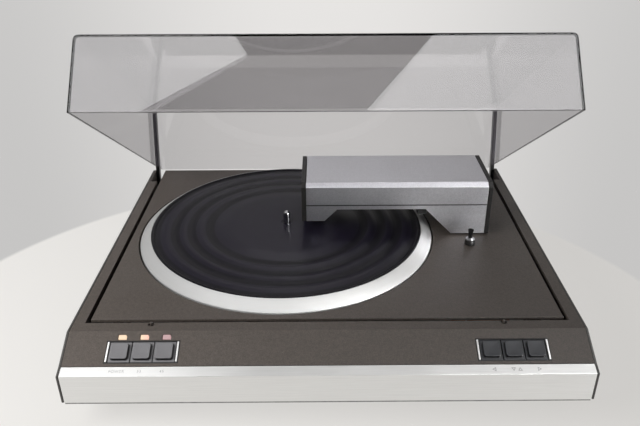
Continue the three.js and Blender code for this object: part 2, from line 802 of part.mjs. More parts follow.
// The rim falls from the mat's edge to the outer face as a cone that bulges a little halfway
function buildPlatter() {
  const crownInner = matRadius + seatGap;
  const crownTop = matTop - seatGap;
  const crown = [[(crownInner + platterRadius) / 2, crownTop / 2 + rimBulge], [platterRadius, 0]];
  const bore = spindleRadius + seatGap;
  const profile = [[bore, webTop], [crownInner, webTop], [crownInner, crownTop], ...crown,
    [platterRadius, -platterSkirt], [platterRadius - platterSkirtWall, -platterSkirt],
    [platterRadius - platterSkirtWall, webBottom], [hubRadius, webBottom],
      [hubRadius, -hubDrop + seatGap],
    [bore, -hubDrop + seatGap]];
  piece(platterGroup, 'platter', ring(profile, bigRound), satinAluminium);
  piece(platterGroup, 'rotor_magnet', ring([[rotorRadius - rotorWall, webBottom - seatGap],
    [rotorRadius, webBottom - seatGap], [rotorRadius, webBottom - seatGap - rotorHeight],
    [rotorRadius - rotorWall, webBottom - seatGap - rotorHeight]], midRound), darkPlastic);
}

// Rubber mat in waves: it falls slowly outwards from each ridge to a valley, and climbs to the next ridge
function buildMat() {
  const bore = spindleRadius + seatGap;
  const low = matTop - matRidge;
  const profile = [[bore, matTop - matWall], [matRadius, matTop - matWall], [matRadius, matTop],
    [matRadius * matLipShare, matTop]];
  for (let k = matRidgeShares.length - 1; k >= 0; k -= 1) {
    profile.push([matRadius * matValleyShares[k], low], [matRadius * matRidgeShares[k], matTop]);
  }
  profile.push([bore, matTop]);
  piece(platterGroup, 'platter_mat', ring(profile, bigRound), rubber);
}

function buildSpindle() {
  const top = matTop + spindleRise;
  const bottom = bearingBottom + thrustWall + runningGap;
  piece(platterGroup, 'spindle', turned([[0, bottom], [spindleRadius, bottom],
    [spindleRadius, top - spindleTip],
    [spindleRadius * Math.cos(Math.PI / 6), top - spindleTip / 2],
      [spindleRadius / 2, top - spindleTip / 8],
    [0, top]], midRound), steel);
}

function buildBridgePost() {
  const post = rod(postRadius, seatGap, postHeight, midRound).translate([pivotX, pivotY, 0]);
  piece(deck, 'bridge_post', post, steel);
}

const brushGroup = new THREE.Group();
brushGroup.position.set(brushX, brushY, 0);
deck.add(brushGroup);

// Bristles stand in a sunflower pattern and lean outwards in step with their radius, so none cross
function bristleTuft(bottom) {
  const golden = Math.PI * (3 - Math.sqrt(5));
  const strands = [];
  for (let i = 0; i < bristleCount; i += 1) {
    const spread = Math.sqrt((i + 1 / 2) / bristleCount);
    const angle = i * golden;
    const strand = new THREE.CylinderGeometry(bristleRadius, bristleRadius, 1,
      bristleSides).rotateX(Math.PI / 2);
    const length = tuftTop - bottom - tuftBacking / 2;
    const middle = bottom + tuftBacking / 2 + length / 2;
    const neck = (tuftNeckRadius - bristleRadius) * spread;
    const lean = (tuftTopRadius - tuftNeckRadius) * spread;
    const points = strand.attributes.position;
    for (let k = 0; k < points.count; k += 1) {
      const along = points.getZ(k) + 1 / 2;
      const reach = neck + lean * along;
      points.setXYZ(k, points.getX(k) + reach * Math.cos(angle), points.getY(k) + reach * Math.sin(angle),
        middle + (along - 1 / 2) * length);
    }
    strands.push(strand);
  }
  return solid(mergeGeometries(strands));
}

function buildBrush() {
  piece(brushGroup, 'brush_base', turned([[0, seatGap], [brushBaseRadius, seatGap],
    [brushBaseRadius, brushBaseHeight / 2], [brushBaseTop, brushBaseHeight], [0, brushBaseHeight]],
      smallRound), blackPlastic);
  const bottom = brushBaseHeight + seatGap;
  const discTop = bottom + ferruleHeight;
  const neckTop = discTop + ferruleNeckHeight;
  const bore = tuftNeckRadius + seatGap;
  piece(brushGroup, 'brush_ferrule', turned([[0, bottom], [ferruleRadius, bottom],
    [ferruleRadius, discTop],
    [ferruleNeck, discTop], [ferruleNeck, neckTop], [bore, neckTop], [bore, discTop], [0, discTop]],
  smallRound), steel);
  const tuftBottom = discTop + seatGap;
  const backing = rod(tuftNeckRadius, tuftBottom, tuftBottom + tuftBacking, smallRound);
  piece(brushGroup, 'brush_bristles', join(backing, bristleTuft(tuftBottom)), bristleBlack);
}

// Bridge: lower casting with foot and block, folded cover, end plates, rods and screw drive
const blockSlope = blockSlantRun / (bridgeUnderside - blockBottom);

function bridgeOutline(top) {
  return [[bridgeLeft, top], [bridgeLeft, footBottom], [footInner, footBottom],
    [footInner + footSlantRun, bridgeUnderside], [blockInner - blockSlantRun, bridgeUnderside],
    [blockInner, blockBottom], [bridgeRight, blockBottom], [bridgeRight, top]];
}

function blockPocket() {
  const floor = blockBottom + bridgeFloorWall;
  const inset = bridgeFloorWall * Math.hypot(1, blockSlope);
  const atFloor = blockInner + inset - blockSlope * bridgeFloorWall;
  const top = bridgeSeam + cutOver;
  const atTop = atFloor - blockSlope * (top - floor);
  return alongY([[atTop, top], [atFloor, floor], [bridgeRight - bridgeWall, floor],
    [bridgeRight - bridgeWall, top]],
    bridgeFront + bridgeWall, bridgeRear - bridgeWall);
}

function buildBridgeFrame() {
  const floorTop = bridgeUnderside + bridgeFloorWall;
  const front = bridgeFront + bridgeWall;
  const rear = bridgeRear - bridgeWall;
  const tray = box(bridgeLeft + bridgeWall, bridgeRight - bridgeWall, front, rear, floorTop,
    bridgeSeam + cutOver);
  const slotLeft = innermostX - carriageWidth / 2 - seatGap;
  const slotRight = parkedX + carriageWidth / 2 + 2 * seatGap;
  const slot = box(slotLeft, slotRight, front, rear, footBottom - cutOver, bridgeSeam + cutOver);
  const postHole = rod(postRadius + runningGap, -cutOver, bridgeSeam + cutOver,
    midRound).translate([pivotX, pivotY, 0]);
  const socket = rod(postRadius + runningGap + pivotWall, blockBottom + bridgeFloorWall / 2, postHeight,
    midRound)
    .translate([pivotX, pivotY, 0]);
  const posts = [rodPostLeft, rodPostRight].map((x) => box(x, x + rodPostWall,
    guideRodY - guideRodRadius - rodPostMargin,
    leadScrewY + leadScrewRadius + rodPostMargin, blockBottom, rodZ + guideRodRadius + rodPostMargin));
  const screwHole = rodAlongX(leadScrewNeck + runningGap, bridgeLeft - cutOver, bridgeRight + cutOver,
    leadScrewY, rodZ);
  const shell = cut(alongY(bridgeOutline(bridgeSeam), bridgeFront, bridgeRear), tray, slot,
    blockPocket());
  const body = join(cut(join(shell, socket), postHole), ...posts.map((post) => cut(post, screwHole)));
  const envelope = alongY(bridgeOutline(bridgeTop), bridgeFront, bridgeRear);
  piece(deck, 'bridge_frame', body.intersect(envelope), silverPaint);
}

function coverOutline(bottom) {
  return [[bridgeFront, bottom], [bridgeFront, bridgeShoulder], [bridgeFront + bridgeBevelRun, bridgeTop],
    [bridgeRear, bridgeTop], [bridgeRear, bottom]];
}

function buildBridgeCover() {
  const bottom = bridgeSeam + seatGap;
  const outer = alongX(coverOutline(bottom), bridgeLeft, bridgeRight);
  const inner = alongX([[bridgeFront + coverWall, bottom - cutOver],
    [bridgeFront + coverWall, bridgeShoulder - coverWall / 2],
    [bridgeFront + bridgeBevelRun + coverWall / 2, bridgeTop - coverWall],
      [bridgeRear - coverWall, bridgeTop - coverWall],
    [bridgeRear - coverWall, bottom - cutOver]], bridgeLeft - cutOver, bridgeRight + cutOver);
  piece(deck, 'bridge_cover', cut(outer, inner), silverPaint);
  piece(deck, 'bridge_end_left',
    alongX(coverOutline(footBottom), bridgeLeft - seatGap - bridgeEndWall, bridgeLeft - seatGap),
      darkPlastic);
  piece(deck, 'bridge_end_right',
    alongX(coverOutline(blockBottom), bridgeRight + seatGap, bridgeRight + seatGap + bridgeEndWall),
      darkPlastic);
}

function buildDrive() {
  const x0 = rodPostLeft + rodPostWall + seatGap;
  const x1 = rodPostRight - seatGap;
  piece(deck, 'guide_rod', rodAlongX(guideRodRadius, x0, x1, guideRodY, rodZ), steel);

  const servoLeft = rodPostRight + rodPostWall + seatGap;
  const screw = join(rodAlongX(leadScrewRadius, x0, x1, leadScrewY, rodZ),
    rodAlongX(leadScrewNeck, rodPostLeft + seatGap, servoLeft - seatGap, leadScrewY, rodZ));
  piece(deck, 'lead_screw', screw, brass);
  piece(deck, 'servo_motor', rodAlongX(servoRadius, servoLeft, servoLeft + servoLength, leadScrewY, rodZ,
    midRound),
    zincSheet);
}

// Carriage on the rod and the screw, with the yoke that holds the arm
function buildCarriage() {
  const x0 = parkedX - carriageWidth / 2;
  const x1 = parkedX + carriageWidth / 2;
  const block = box(x0, x1, carriageFront, carriageRear, carriageBottom, carriageTop);
  const ear = box(x0, x0 + yokeWall, armPivotY - yokeDepth / 2, armPivotY + yokeDepth / 2,
    armPivotZ - yokeDepth / 2, carriageBottom + yokeWall);
  const otherEar = ear.translate([carriageWidth - yokeWall, 0, 0]);
  const pin = rodAlongX(armPinRadius, x0 + yokeWall / 2, x1 - yokeWall / 2, armPivotY, armPivotZ);
  const bores = [rodAlongX(guideRodRadius + runningGap, x0 - cutOver, x1 + cutOver, guideRodY, rodZ),
    rodAlongX(leadScrewRadius + runningGap, x0 - cutOver, x1 + cutOver, leadScrewY, rodZ)];
  piece(deck, 'carriage', cut(join(block, ear, otherEar, pin), ...bores), darkPlastic);
}

// Arm at rest, raised by its lift. The head is laid out as it plays, level and with the stylus on a record
// on the line through the spindle, and its group is tilted up by the lift.
const armGroup = new THREE.Group();
armGroup.position.set(parkedX, armPivotY, armPivotZ);
deck.add(armGroup);
const headGroup = new THREE.Group();
headGroup.rotation.x = -THREE.MathUtils.degToRad(armLift);
armGroup.add(headGroup);

function buildArm() {
  const tipDrop = armPivotZ - (matTop + recordWall);
  const hubHalf = carriageWidth / 2 - yokeWall - seatGap;
  const hub = rodAlongX(armHubRadius, -hubHalf, hubHalf, 0, 0);
  const bore = rodAlongX(armPinRadius + runningGap, -hubHalf - cutOver, hubHalf + cutOver, 0, 0);
  const cartridgeRear = -armReach + cartridgeLength / 2;
  const cartridgeFront = cartridgeRear - cartridgeLength;
  const cartridgeBottom = -tipDrop + stylusLength;
  const cartridgeTop = cartridgeBottom + cartridgeHeight;
  const bar = box(-armWidth / 2, armWidth / 2, cartridgeRear - armHeight, 0, -armPinRadius - armHeight,
    -armPinRadius);
  const shell = box(-cartridgeWidth / 2, cartridgeWidth / 2, cartridgeFront, cartridgeRear,
    cartridgeTop + seatGap,
    cartridgeTop + seatGap + armHeight).rotate([-armLift, 0, 0]);
  const tail = rodAlongY(armPinRadius, 0, armHubRadius + counterweightLength + seatGap, 0, 0);
  piece(armGroup, 'tonearm', cut(join(bar, shell, hub, tail), bore), steel);

  const body = box(-cartridgeWidth / 2, cartridgeWidth / 2, cartridgeFront, cartridgeRear,
    cartridgeBottom, cartridgeTop);
  piece(headGroup, 'cartridge', body, blackPlastic);

  const needle = turned([[0, -tipDrop], [stylusRadius, -tipDrop + stylusLength - seatGap],
    [0, -tipDrop + stylusLength - seatGap]], smallRound).translate([0, -armReach, 0]);
  piece(headGroup, 'stylus', needle, steel);

  const weight = cut(rodAlongY(counterweightRadius, armHubRadius + seatGap,
    armHubRadius + seatGap + counterweightLength, 0, 0),
    rodAlongY(armPinRadius + seatGap, 0, armHubRadius + counterweightLength + cutOver, 0, 0));
  piece(armGroup, 'counterweight', weight, brass);
}

// Dust cover: the closed outline minus an inner one, with rounded side corners, hinged open
const coverGroup = new THREE.Group();
coverGroup.position.set(0, hingeY, hingeZ);
coverGroup.rotation.x = -THREE.MathUtils.degToRad(coverOpening);
deck.add(coverGroup);

function coverBlock(half, corner, side) {
  const frontView = new THREE.Shape();
  const low = coverRimLift - cutOver;
  const top = side.top;
  frontView.moveTo(-half, low);
  frontView.lineTo(half, low);
  frontView.lineTo(half, top - corner);
  frontView.absarc(half - corner, top - corner, corner, 0, Math.PI / 2, false);
  frontView.absarc(-half + corner, top - corner, corner, Math.PI / 2, Math.PI, false);
  const points = frontView.getPoints(cornerSteps).map((p) => [p.x, p.y]);
  const across = alongY(points, coverFrontY - cutOver, coverRearY + cutOver);
  return across.intersect(alongX(side.outline, -half, half));
}

function buildCover() {
  const half = coverWidth / 2;
  const rearSlope = (coverRearY - coverTopRearY) / coverHeight;
  const frontSlope = coverFrontLean / coverHeight;
  const rearInset = acrylicWall * Math.hypot(1, rearSlope);
  const frontInset = acrylicWall * Math.hypot(1, frontSlope);
  const outer = { top: coverTop, outline: [[coverFrontY, coverRimLift],
    [coverFrontY + coverFrontLean, coverTop],
    [coverTopRearY, coverTop], [coverRearY, coverRimLift]] };
  const innerTop = coverTop - acrylicWall;
  const low = coverRimLift - cutOver;
  const frontAt = (z) => coverFrontY + frontInset + frontSlope * (z - coverRimLift);
  const rearAt = (z) => coverRearY - rearInset - rearSlope * (z - coverRimLift);
  const inner = { top: innerTop, outline: [[frontAt(low), low], [frontAt(innerTop), innerTop],
    [rearAt(innerTop), innerTop], [rearAt(low), low]] };
  const shell = cut(coverBlock(half, coverCorner, outer),
    coverBlock(half - acrylicWall, coverCorner - acrylicWall, inner));
  piece(coverGroup, 'dust_cover', shell.translate([0, -hingeY, -hingeZ]), smokedAcrylic);
}

// A strap of even width along a bent centre line, as an outline with mitred corners
function strap(path, half) {
  const left = [];
  const right = [];
  path.forEach(([y, z], i) => {
    const before = path[Math.max(i - 1, 0)];
    const after = path[Math.min(i + 1, path.length - 1)];
    const along = new THREE.Vector2(after[0] - before[0], after[1] - before[1]).normalize();
    left.push([y - along.y * half, z + along.x * half]);
    right.unshift([y + along.y * half, z - along.x * half]);
  });
  return [...left, ...right];
}

function buildHinges() {
  const top = coverTop - acrylicWall - coverCorner;
  const path = [[hingeTopY, top], [hingeKneeY, hingeKneeZ], [hingeY, hingeZ]];
  const bar = alongX(strap(path, hingeArmHalfWidth), hingeArmInner, hingeArmOuter);
  const eye = rodAlongX(hingeEyeRadius, hingeArmInner, hingeArmOuter, hingeY, hingeZ);
  const bore = rodAlongX(hingePinRadius + runningGap, hingeArmInner - cutOver, hingeArmOuter + cutOver,
    hingeY, hingeZ);
  const arm = cut(join(bar, eye), bore).translate([0, -hingeY, -hingeZ]);
  piece(coverGroup, 'hinge_arm_right', arm, blackPlastic);
  piece(coverGroup, 'hinge_arm_left', mirrored(arm), blackPlastic);

  const earOuter = hingeArmInner - seatGap;
  const earInner = earOuter - hingeEarWall;
  const floor = trayFloor + seatGap;
  const ear = box(earInner, earOuter, hingeY - hingeEyeRadius, hingeY + hingeEyeRadius - seatGap, floor,
    hingeZ + hingeEyeRadius);
  const base = box(earOuter - hingeBaseLength, earOuter, hingeY - hingeEyeRadius,
    hingeY + hingeEyeRadius - seatGap,
    floor, floor + hingeBaseWall);
  const pin = rodAlongX(hingePinRadius, earInner + hingeEarWall / 2, hingeArmOuter, hingeY, hingeZ);
  const bracket = join(ear, base, pin);
  piece(deck, 'hinge_bracket_right', bracket, steel);
  piece(deck, 'hinge_bracket_left', mirrored(bracket), steel);
}

function buildBumpers() {
  const bumper = rod(bumperRadius, -bumperSink, coverRimLift - seatGap)
    .translate([bumperX, coverFrontY + acrylicWall / 2, 0]);
  piece(deck, 'cover_bumper_right', bumper, rubber);
  piece(deck, 'cover_bumper_left', mirrored(bumper), rubber);
}

buildSides();
buildFascia();
buildFrame();
buildRearPanel();
buildSockets();
buildTray();
buildFeet();
buildPowerSupply();
buildSprings();
buildControls();
buildSubchassis();
buildMotor();
buildPlatter();
buildMat();
buildSpindle();
buildBridgePost();
buildBrush();
buildBridgeFrame();
buildBridgeCover();
buildDrive();
buildCarriage();
buildArm();
buildCover();
buildHinges();
buildBumpers();

// The origin is the middle of the whole object's footprint, on the surface that it stands on
const extent = new THREE.Box3().setFromObject(model, true);
model.position.set(-(extent.min.x + extent.max.x) / 2, -(extent.min.y + extent.max.y) / 2, -extent.min.z);
model.updateMatrixWorld(true);

export default model;
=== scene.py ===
import json
import math

import bmesh
import bpy
import numpy as np
from bpy.props import FloatProperty, FloatVectorProperty, IntProperty, PointerProperty
from bpy.types import Operator, Panel, PropertyGroup
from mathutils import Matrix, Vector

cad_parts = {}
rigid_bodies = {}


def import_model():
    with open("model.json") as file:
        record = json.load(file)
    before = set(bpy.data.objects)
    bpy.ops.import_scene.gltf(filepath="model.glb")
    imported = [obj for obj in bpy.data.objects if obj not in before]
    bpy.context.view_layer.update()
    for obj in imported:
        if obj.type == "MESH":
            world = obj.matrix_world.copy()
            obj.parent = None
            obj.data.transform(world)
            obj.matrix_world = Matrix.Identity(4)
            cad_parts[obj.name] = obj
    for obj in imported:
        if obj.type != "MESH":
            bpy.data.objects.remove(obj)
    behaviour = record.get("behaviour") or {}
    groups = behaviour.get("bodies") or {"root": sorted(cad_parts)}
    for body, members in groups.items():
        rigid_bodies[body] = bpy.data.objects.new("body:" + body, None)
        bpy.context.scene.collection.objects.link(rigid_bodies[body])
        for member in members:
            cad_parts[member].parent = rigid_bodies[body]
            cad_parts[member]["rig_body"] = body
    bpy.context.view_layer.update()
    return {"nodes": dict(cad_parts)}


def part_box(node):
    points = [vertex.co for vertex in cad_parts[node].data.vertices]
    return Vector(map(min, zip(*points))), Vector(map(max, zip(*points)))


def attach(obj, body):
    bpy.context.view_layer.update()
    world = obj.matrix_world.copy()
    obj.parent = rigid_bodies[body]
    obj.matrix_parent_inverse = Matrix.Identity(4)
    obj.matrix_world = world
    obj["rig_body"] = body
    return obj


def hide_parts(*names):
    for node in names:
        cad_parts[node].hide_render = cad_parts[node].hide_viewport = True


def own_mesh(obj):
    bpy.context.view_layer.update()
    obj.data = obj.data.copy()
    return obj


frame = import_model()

bl_info = {
    "name": "Turntable with a swivelling bridge",
    "version": (1, 0, 0),
    "blender": (4, 5, 0),
    "location": "View3D > Sidebar > Turntable",
    "description": "Dresses the turntable: platter, bridge, controls, clear cover, works and stage",
    "category": "Add Mesh",
}

NODES = frame["nodes"]
MM = 0.001

# Cuts and round corners end this share along an edge, just short of its middle
NEAR_HALF = 0.49

# The deck's frame: X to the right, Y back from the top edge of the control slope, Z up from the deck. The
# slope rises by 14.4 over 29.2
DECK_DEPTH = 0.345
SIDE_HIGH = np.array(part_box("side_panel_right")[1])
ORIGIN = np.array([0.0, SIDE_HIGH[1] - DECK_DEPTH, SIDE_HIGH[2]])
SLOPE = math.atan2(14.4, 29.2)

# From here to the mat all sizes are millimetres. The clear cover as it lies when closed: its hinge, its rim
# and roof, its walls' feet, and how far its front and rear lean in over its height
HINGE, COVER_OPEN = np.array([0.0, 336.0, -50.0]), math.radians(-32.0)
COVER_RIM, COVER_ROOF, COVER_HALF = 2.8, 76.0, 225.0
COVER_FRONT, COVER_REAR, FRONT_LEAN, REAR_LEAN = 7.9, 352.0, 10.5, 56.0

# Push buttons: the pitch between them, their row and the windows' row up the slope, their square tiles and
# pads with the heights of their tops over the slope, and the rounding of the pads' rims
PITCH, ROW, LENS_ROW = 19.0, -19.5, -5.8
TILE, TILE_TOP = 18.4, -0.5
PAD, PAD_TOP, PAD_RIM = 14.2, 2.6, 0.45
BEZEL_HALF, BEZEL_INNER, SLAT_X = 31.0, 28.5, 29.75

# The fascia's bevel: its fall over its depth and its middle, and half the thickness of the labels on it
BEVEL_DEPTH, BEVEL_FALL = 9.0, 3.5
BEVEL_MIDDLE, INK = np.array([0.0, -33.7, -16.15]), 0.02

# Where the mat's waves rise and fall, as shares of its radius
MAT_RIDGES, MAT_VALLEYS = (0.45, 0.635, 0.765, 0.893), (0.575, 0.71, 0.83, 0.97)

# Middle of the round table top, in metres
TABLE_CENTRE = (-0.031, -0.149, 0.0)


def tone(code):
    """Linear colour of a display colour written as six hex digits."""
    c = np.array([int(code[i:i + 2], 16) for i in (0, 2, 4)]) / 255
    return tuple(np.where(c <= 0.04045, c / 12.92, ((c + 0.055) / 1.055) ** 2.4))


def box_mm(node):
    """Lowest and highest corner of a CAD node, as rows in millimetres."""
    return np.array(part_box(node)) / MM


def middle(node):
    """Middle of a CAD node's box, in millimetres."""
    return box_mm(node).mean(0)


def radius_of(node):
    """Half the width of a round CAD node, in millimetres."""
    low, high = box_mm(node)
    return (high[0] - low[0]) / 2


def colour(code, name, description):
    return FloatVectorProperty(name=name, description=description, subtype="COLOR", size=3, min=0, max=1,
                               default=tone(code))


def length(value, name, description):
    return FloatProperty(name=name, description=description, unit="LENGTH", precision=5, min=0, default=value)


def power(value, name, description):
    return FloatProperty(name=name, description=description, unit="POWER", min=0, default=value)


class TurntableSizes(PropertyGroup):
    platter_radius: length(radius_of("platter") * MM, "Platter radius", "Outer radius of the platter")
    mat_radius: length(radius_of("platter_mat") * MM, "Mat radius", "Radius of the rubber mat")
    mat_wave: length(0.0021, "Mat wave", "Depth of the waves in the mat")
    sheet_edge: length(0.0005, "Sheet edge", "Rounding of folded sheet edges")
    moulded_edge: length(0.0006, "Moulded edge", "Rounding of moulded edges")
    cap_corner: length(0.0021, "Cap corner", "Corner radius of the push-button pads")
    cap_dish: length(0.00025, "Cap dish", "Depth of the dish in the push-button pads")
    cover_wall: length(0.0026, "Cover wall", "Wall of the clear cover")
    cover_corner: length(0.005, "Cover corner", "Bend between the clear cover's sides and its roof")
    cover_edge: length(0.0019, "Cover edge", "Rounding of the clear cover's other outer edges")
    table_radius: length(0.429, "Table radius", "Radius of the pale round table top")
    strands: IntProperty(name="Strands", description="Bristles in the stylus brush", default=430, min=50)


class TurntableFinish(PropertyGroup):
    deck_dark: colour("3B3632", "Deck dark", "Dark grains of the deck paint")
    deck_light: colour("5D554F", "Deck light", "Light grains of the deck paint")
    panel: colour("3C3A38", "Panel", "Side and rear panels and, darker, bridge ends, brush base and carriage")
    aluminium: colour("DADAD9", "Aluminium", "Satin aluminium of the fascia and the platter")
    silver_dark: colour("B4B4B8", "Silver dark", "Dark grains of the bridge paint")
    silver_light: colour("D4D4D8", "Silver light", "Light grains of the bridge paint")
    mat: colour("16131E", "Mat", "Rubber of the mat")
    cap_grey: colour("69686A", "Grey cap", "Left push buttons")
    cap_dark: colour("10131B", "Dark cap", "Right push buttons")
    black: colour("141415", "Black plastic", "Bezels, inlet, socket plate and cartridge")
    lamp_warm: colour("FFE0BE", "Lit lamp", "Lit indicator windows")
    # The unlit window still glows in this colour, as painted light
    unlit_window_glow: colour("BB9899", "Unlit lamp", "Unlit indicator window")
    acrylic: colour("C9C7C9", "Acrylic", "Tint of the clear cover")
    # The table top's glow is painted light, which lifts the shadows on it
    table: colour("6A6967", "Table", "Pale table top as lamps light it")
    table_painted_light: colour("D6D4D1", "Table glow", "Light that the translucent table top gives off")
    room: colour("4C4A49", "Room", "Room behind the camera, as gloss and glass mirror it")
    wall: colour("C3C2C1", "Wall", "Backdrop beyond the table top")
    wall_light: colour("E1DFDD", "Light wall", "Brightest part of the backdrop")


class TurntableLight(PropertyGroup):
    world: FloatProperty(name="World", description="Strength of the even light", default=0.16, min=0)
    back: power(4.5, "Back softbox", "Power of the softbox at the back")
    card: power(1.9, "Right card", "Power of the low lamp at the right")
    fill: power(13.5, "Left fill", "Power of the soft lamp at the left")
    left: power(12.3, "Left softbox", "Power of the left softbox")
    right: power(20.0, "Right softbox", "Power of the right softbox")


def sizes():
    return bpy.context.scene.turntable_sizes


def finishes():
    return bpy.context.scene.turntable_finish


# Places

def deck(points):
    """Points in millimetres in the deck's frame, as row points in metres."""
    return np.asarray(points, float) * MM + ORIGIN


def tipped(points, angle):
    """Points turned by an angle a about X: y' = y cos a - z sin a and z' = y sin a + z cos a."""
    x, y, z = np.moveaxis(np.asarray(points, float), -1, 0)
    c, s = math.cos(angle), math.sin(angle)
    return np.stack([x, y * c - z * s, y * s + z * c], -1)


def on_slope(points):
    """Points [x, up the slope, out of it] in millimetres, tipped by its angle."""
    return deck(tipped(points, SLOPE))


def on_bevel(points):
    """Points [x, up the bevel, out of it] in millimetres, tipped by its angle and laid on its middle."""
    return deck(tipped(points, math.atan2(BEVEL_FALL, BEVEL_DEPTH)) + BEVEL_MIDDLE + [0, 0, INK])


def on_cover(points):
    """Points in millimetres as the cover lies when closed, tipped open about its hinge."""
    return deck(tipped(points - HINGE, COVER_OPEN) + HINGE)


# Shapes

def fillet(profile, cuts, steps=5):
    """Closed profile with rounded corners. From each corner P the edges are cut back to A and B, and the
    curve (1 - s)^2 A + 2 s (1 - s) P + s^2 B runs between them for s from 0 to 1."""
    p = np.asarray(profile, float)
    ends = []
    for shift in (1, -1):
        edge = np.roll(p, shift, 0) - p
        reach = np.linalg.norm(edge, axis=1)
        ends.append((p + edge * (np.minimum(cuts, NEAR_HALF * reach) / reach)[:, None])[:, None])
    s = np.linspace(0, 1, steps)[None, :, None]
    return ((1 - s) ** 2 * ends[0] + 2 * s * (1 - s) * p[:, None] + s ** 2 * ends[1]).reshape(-1, 2)


def revolve(profile, centre, count, flutes=0, depth=0.0):
    """Grid of a profile [r, z] turned about a vertical axis: x = cx + r cos a, y = cy + r sin a. Flutes
    change r by depth times cos(flutes a)."""
    a = np.linspace(0, 2 * math.pi, count, endpoint=False)[None]
    r, z = np.asarray(profile, float).T[..., None]
    r = np.maximum(r + np.where(r > 2 * depth, depth, 0) * np.cos(flutes * a) * (flutes > 0), 0)
    return np.stack([centre[0] + r * np.cos(a), centre[1] + r * np.sin(a), z + 0 * a], -1)


def lying(points, height):
    """A grid laid down so that its axis runs along Y, in metres: (x, y, z) goes to (x, z, height - y)."""
    x, y, z = np.moveaxis(points, -1, 0)
    return np.stack([x, z, height - y], -1) * MM


def rectangle(x0, x1, y0, y1, radius, steps=5):
    """Loop of a rounded rectangle: a quarter circle of the radius about each of its four corner centres."""
    radius = min(radius, NEAR_HALF * (x1 - x0), NEAR_HALF * (y1 - y0))
    cx = np.array([x1, x0, x0, x1]) + radius * np.array([-1, 1, 1, -1])
    cy = np.array([y1, y1, y0, y0]) + radius * np.array([-1, -1, 1, 1])
    a = np.linspace(0, math.pi / 2, steps)[None] + np.arange(4)[:, None] * math.pi / 2
    return np.stack([cx[:, None] + radius * np.cos(a), cy[:, None] + radius * np.sin(a)], -1).reshape(-1, 2)


def stack(loops, levels, closed_ends=True):
    """Grid of loops at rising levels. With closed ends, the first and last loop shrink to their middles."""
    loops, levels = np.asarray(loops, float), np.asarray(levels, float)
    if closed_ends:
        first, last = (np.broadcast_to(loop.mean(0), loop.shape)[None] for loop in loops[[0, -1]])
        loops = np.concatenate([first, loops, last])
        levels = np.concatenate([levels[:1], levels, levels[-1:]])
    z = np.broadcast_to(levels.reshape(len(levels), -1, 1), loops.shape[:2] + (1,))
    return np.concatenate([loops, z], -1)


def quarter(radius, steps):
    """Insets and drops along a quarter circle up to its top: radius (1 - cos a) and radius (1 - sin a)."""
    a = np.linspace(0, math.pi / 2, steps)
    return radius * (1 - np.cos(a)), radius * (1 - np.sin(a))


def slab(x, y, half_x, half_y, low, high, radius, edge):
    """Grid of a flat rounded block about x, y: loops stand on its walls, and draw in along a quarter circle
    to its top."""
    insets, drops = quarter(edge, 4)
    return stack([rectangle(x - half_x + i, x + half_x - i, y - half_y + i, y + half_y - i,
                            max(radius - i, 0.3 * edge)) for i in (0, *insets, 2.5 * edge)],
                 [low, *(high - drops), high])


def mesh_of(name, grids, closed=False):
    """One mesh from grids of points. Their columns run round, and with closed their rows do too. The corners
    of a face are (i, j), (i, j + 1), (i + 1, j + 1) and (i + 1, j). A grid of four axes holds copies."""
    points, faces, base = [], [], 0
    for grid in grids:
        copies = grid.reshape((-1,) + grid.shape[-3:])
        count, rows, columns = copies.shape[:3]
        i, j = np.indices((rows - (not closed), columns))
        k, l = (i + 1) % rows, (j + 1) % columns
        one = np.stack([i * columns + j, i * columns + l, k * columns + l, k * columns + j], -1)
        shift = base + np.arange(count)[:, None, None] * rows * columns
        faces.append((one.reshape(1, -1, 4) + shift).reshape(-1, 4))
        points.append(copies.reshape(-1, 3))
        base += count * rows * columns
    points, faces = np.concatenate(points), np.concatenate(faces)
    mesh = bpy.data.meshes.new(name)
    mesh.vertices.add(len(points))
    mesh.vertices.foreach_set("co", points.ravel())
    mesh.loops.add(faces.size)
    mesh.loops.foreach_set("vertex_index", faces.ravel())
    mesh.polygons.add(len(faces))
    mesh.polygons.foreach_set("loop_start", np.arange(0, faces.size, 4))
    mesh.update(calc_edges=True)
    return mesh


def tidy(mesh, angle):
    """Merges the doubles at seams and poles, turns the faces out and marks edges sharper than the angle."""
    work = bmesh.new()
    work.from_mesh(mesh)
    bmesh.ops.remove_doubles(work, verts=work.verts, dist=1e-6)
    bmesh.ops.recalc_face_normals(work, faces=work.faces)
    work.to_mesh(mesh)
    work.free()
    mesh.shade_smooth()
    mesh.set_sharp_from_angle(angle=math.radians(angle))


def shown(name, data):
    """A new object in the scene, at the origin."""
    made = bpy.data.objects.new(name, data)
    bpy.context.scene.collection.objects.link(made)
    return made


def piece(name, mesh, look, body, replaces=()):
    """A finished piece: its mesh in place, its look, its body and the nodes that it stands for."""
    mesh.materials.clear()
    mesh.materials.append(finish(look))
    made = shown(name, mesh)
    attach(made, body)
    if replaces:
        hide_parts(*replaces)
    return made


def formed(name, grids, look, body, replaces=(), angle=38, even=False, closed=False):
    """A piece made from grids. Even shading weighs the normals by the faces' areas, to keep flats flat."""
    mesh = mesh_of(name, grids, closed)
    tidy(mesh, angle)
    made = piece(name, mesh, look, body, replaces)
    if even:
        weights = made.modifiers.new("Even shading", "WEIGHTED_NORMAL")
        weights.mode = "FACE_AREA"
        weights.keep_sharp = True


def turned(name, profile, look, node, centre=None, count=64, angle=50, closed=False):
    """A piece turned about the middle of the CAD node that it stands for, or about another centre."""
    grid = revolve(profile, middle(node) if centre is None else centre, count) * MM
    formed(name, [grid], look, NODES[node]["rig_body"], (node,), angle, closed=closed)


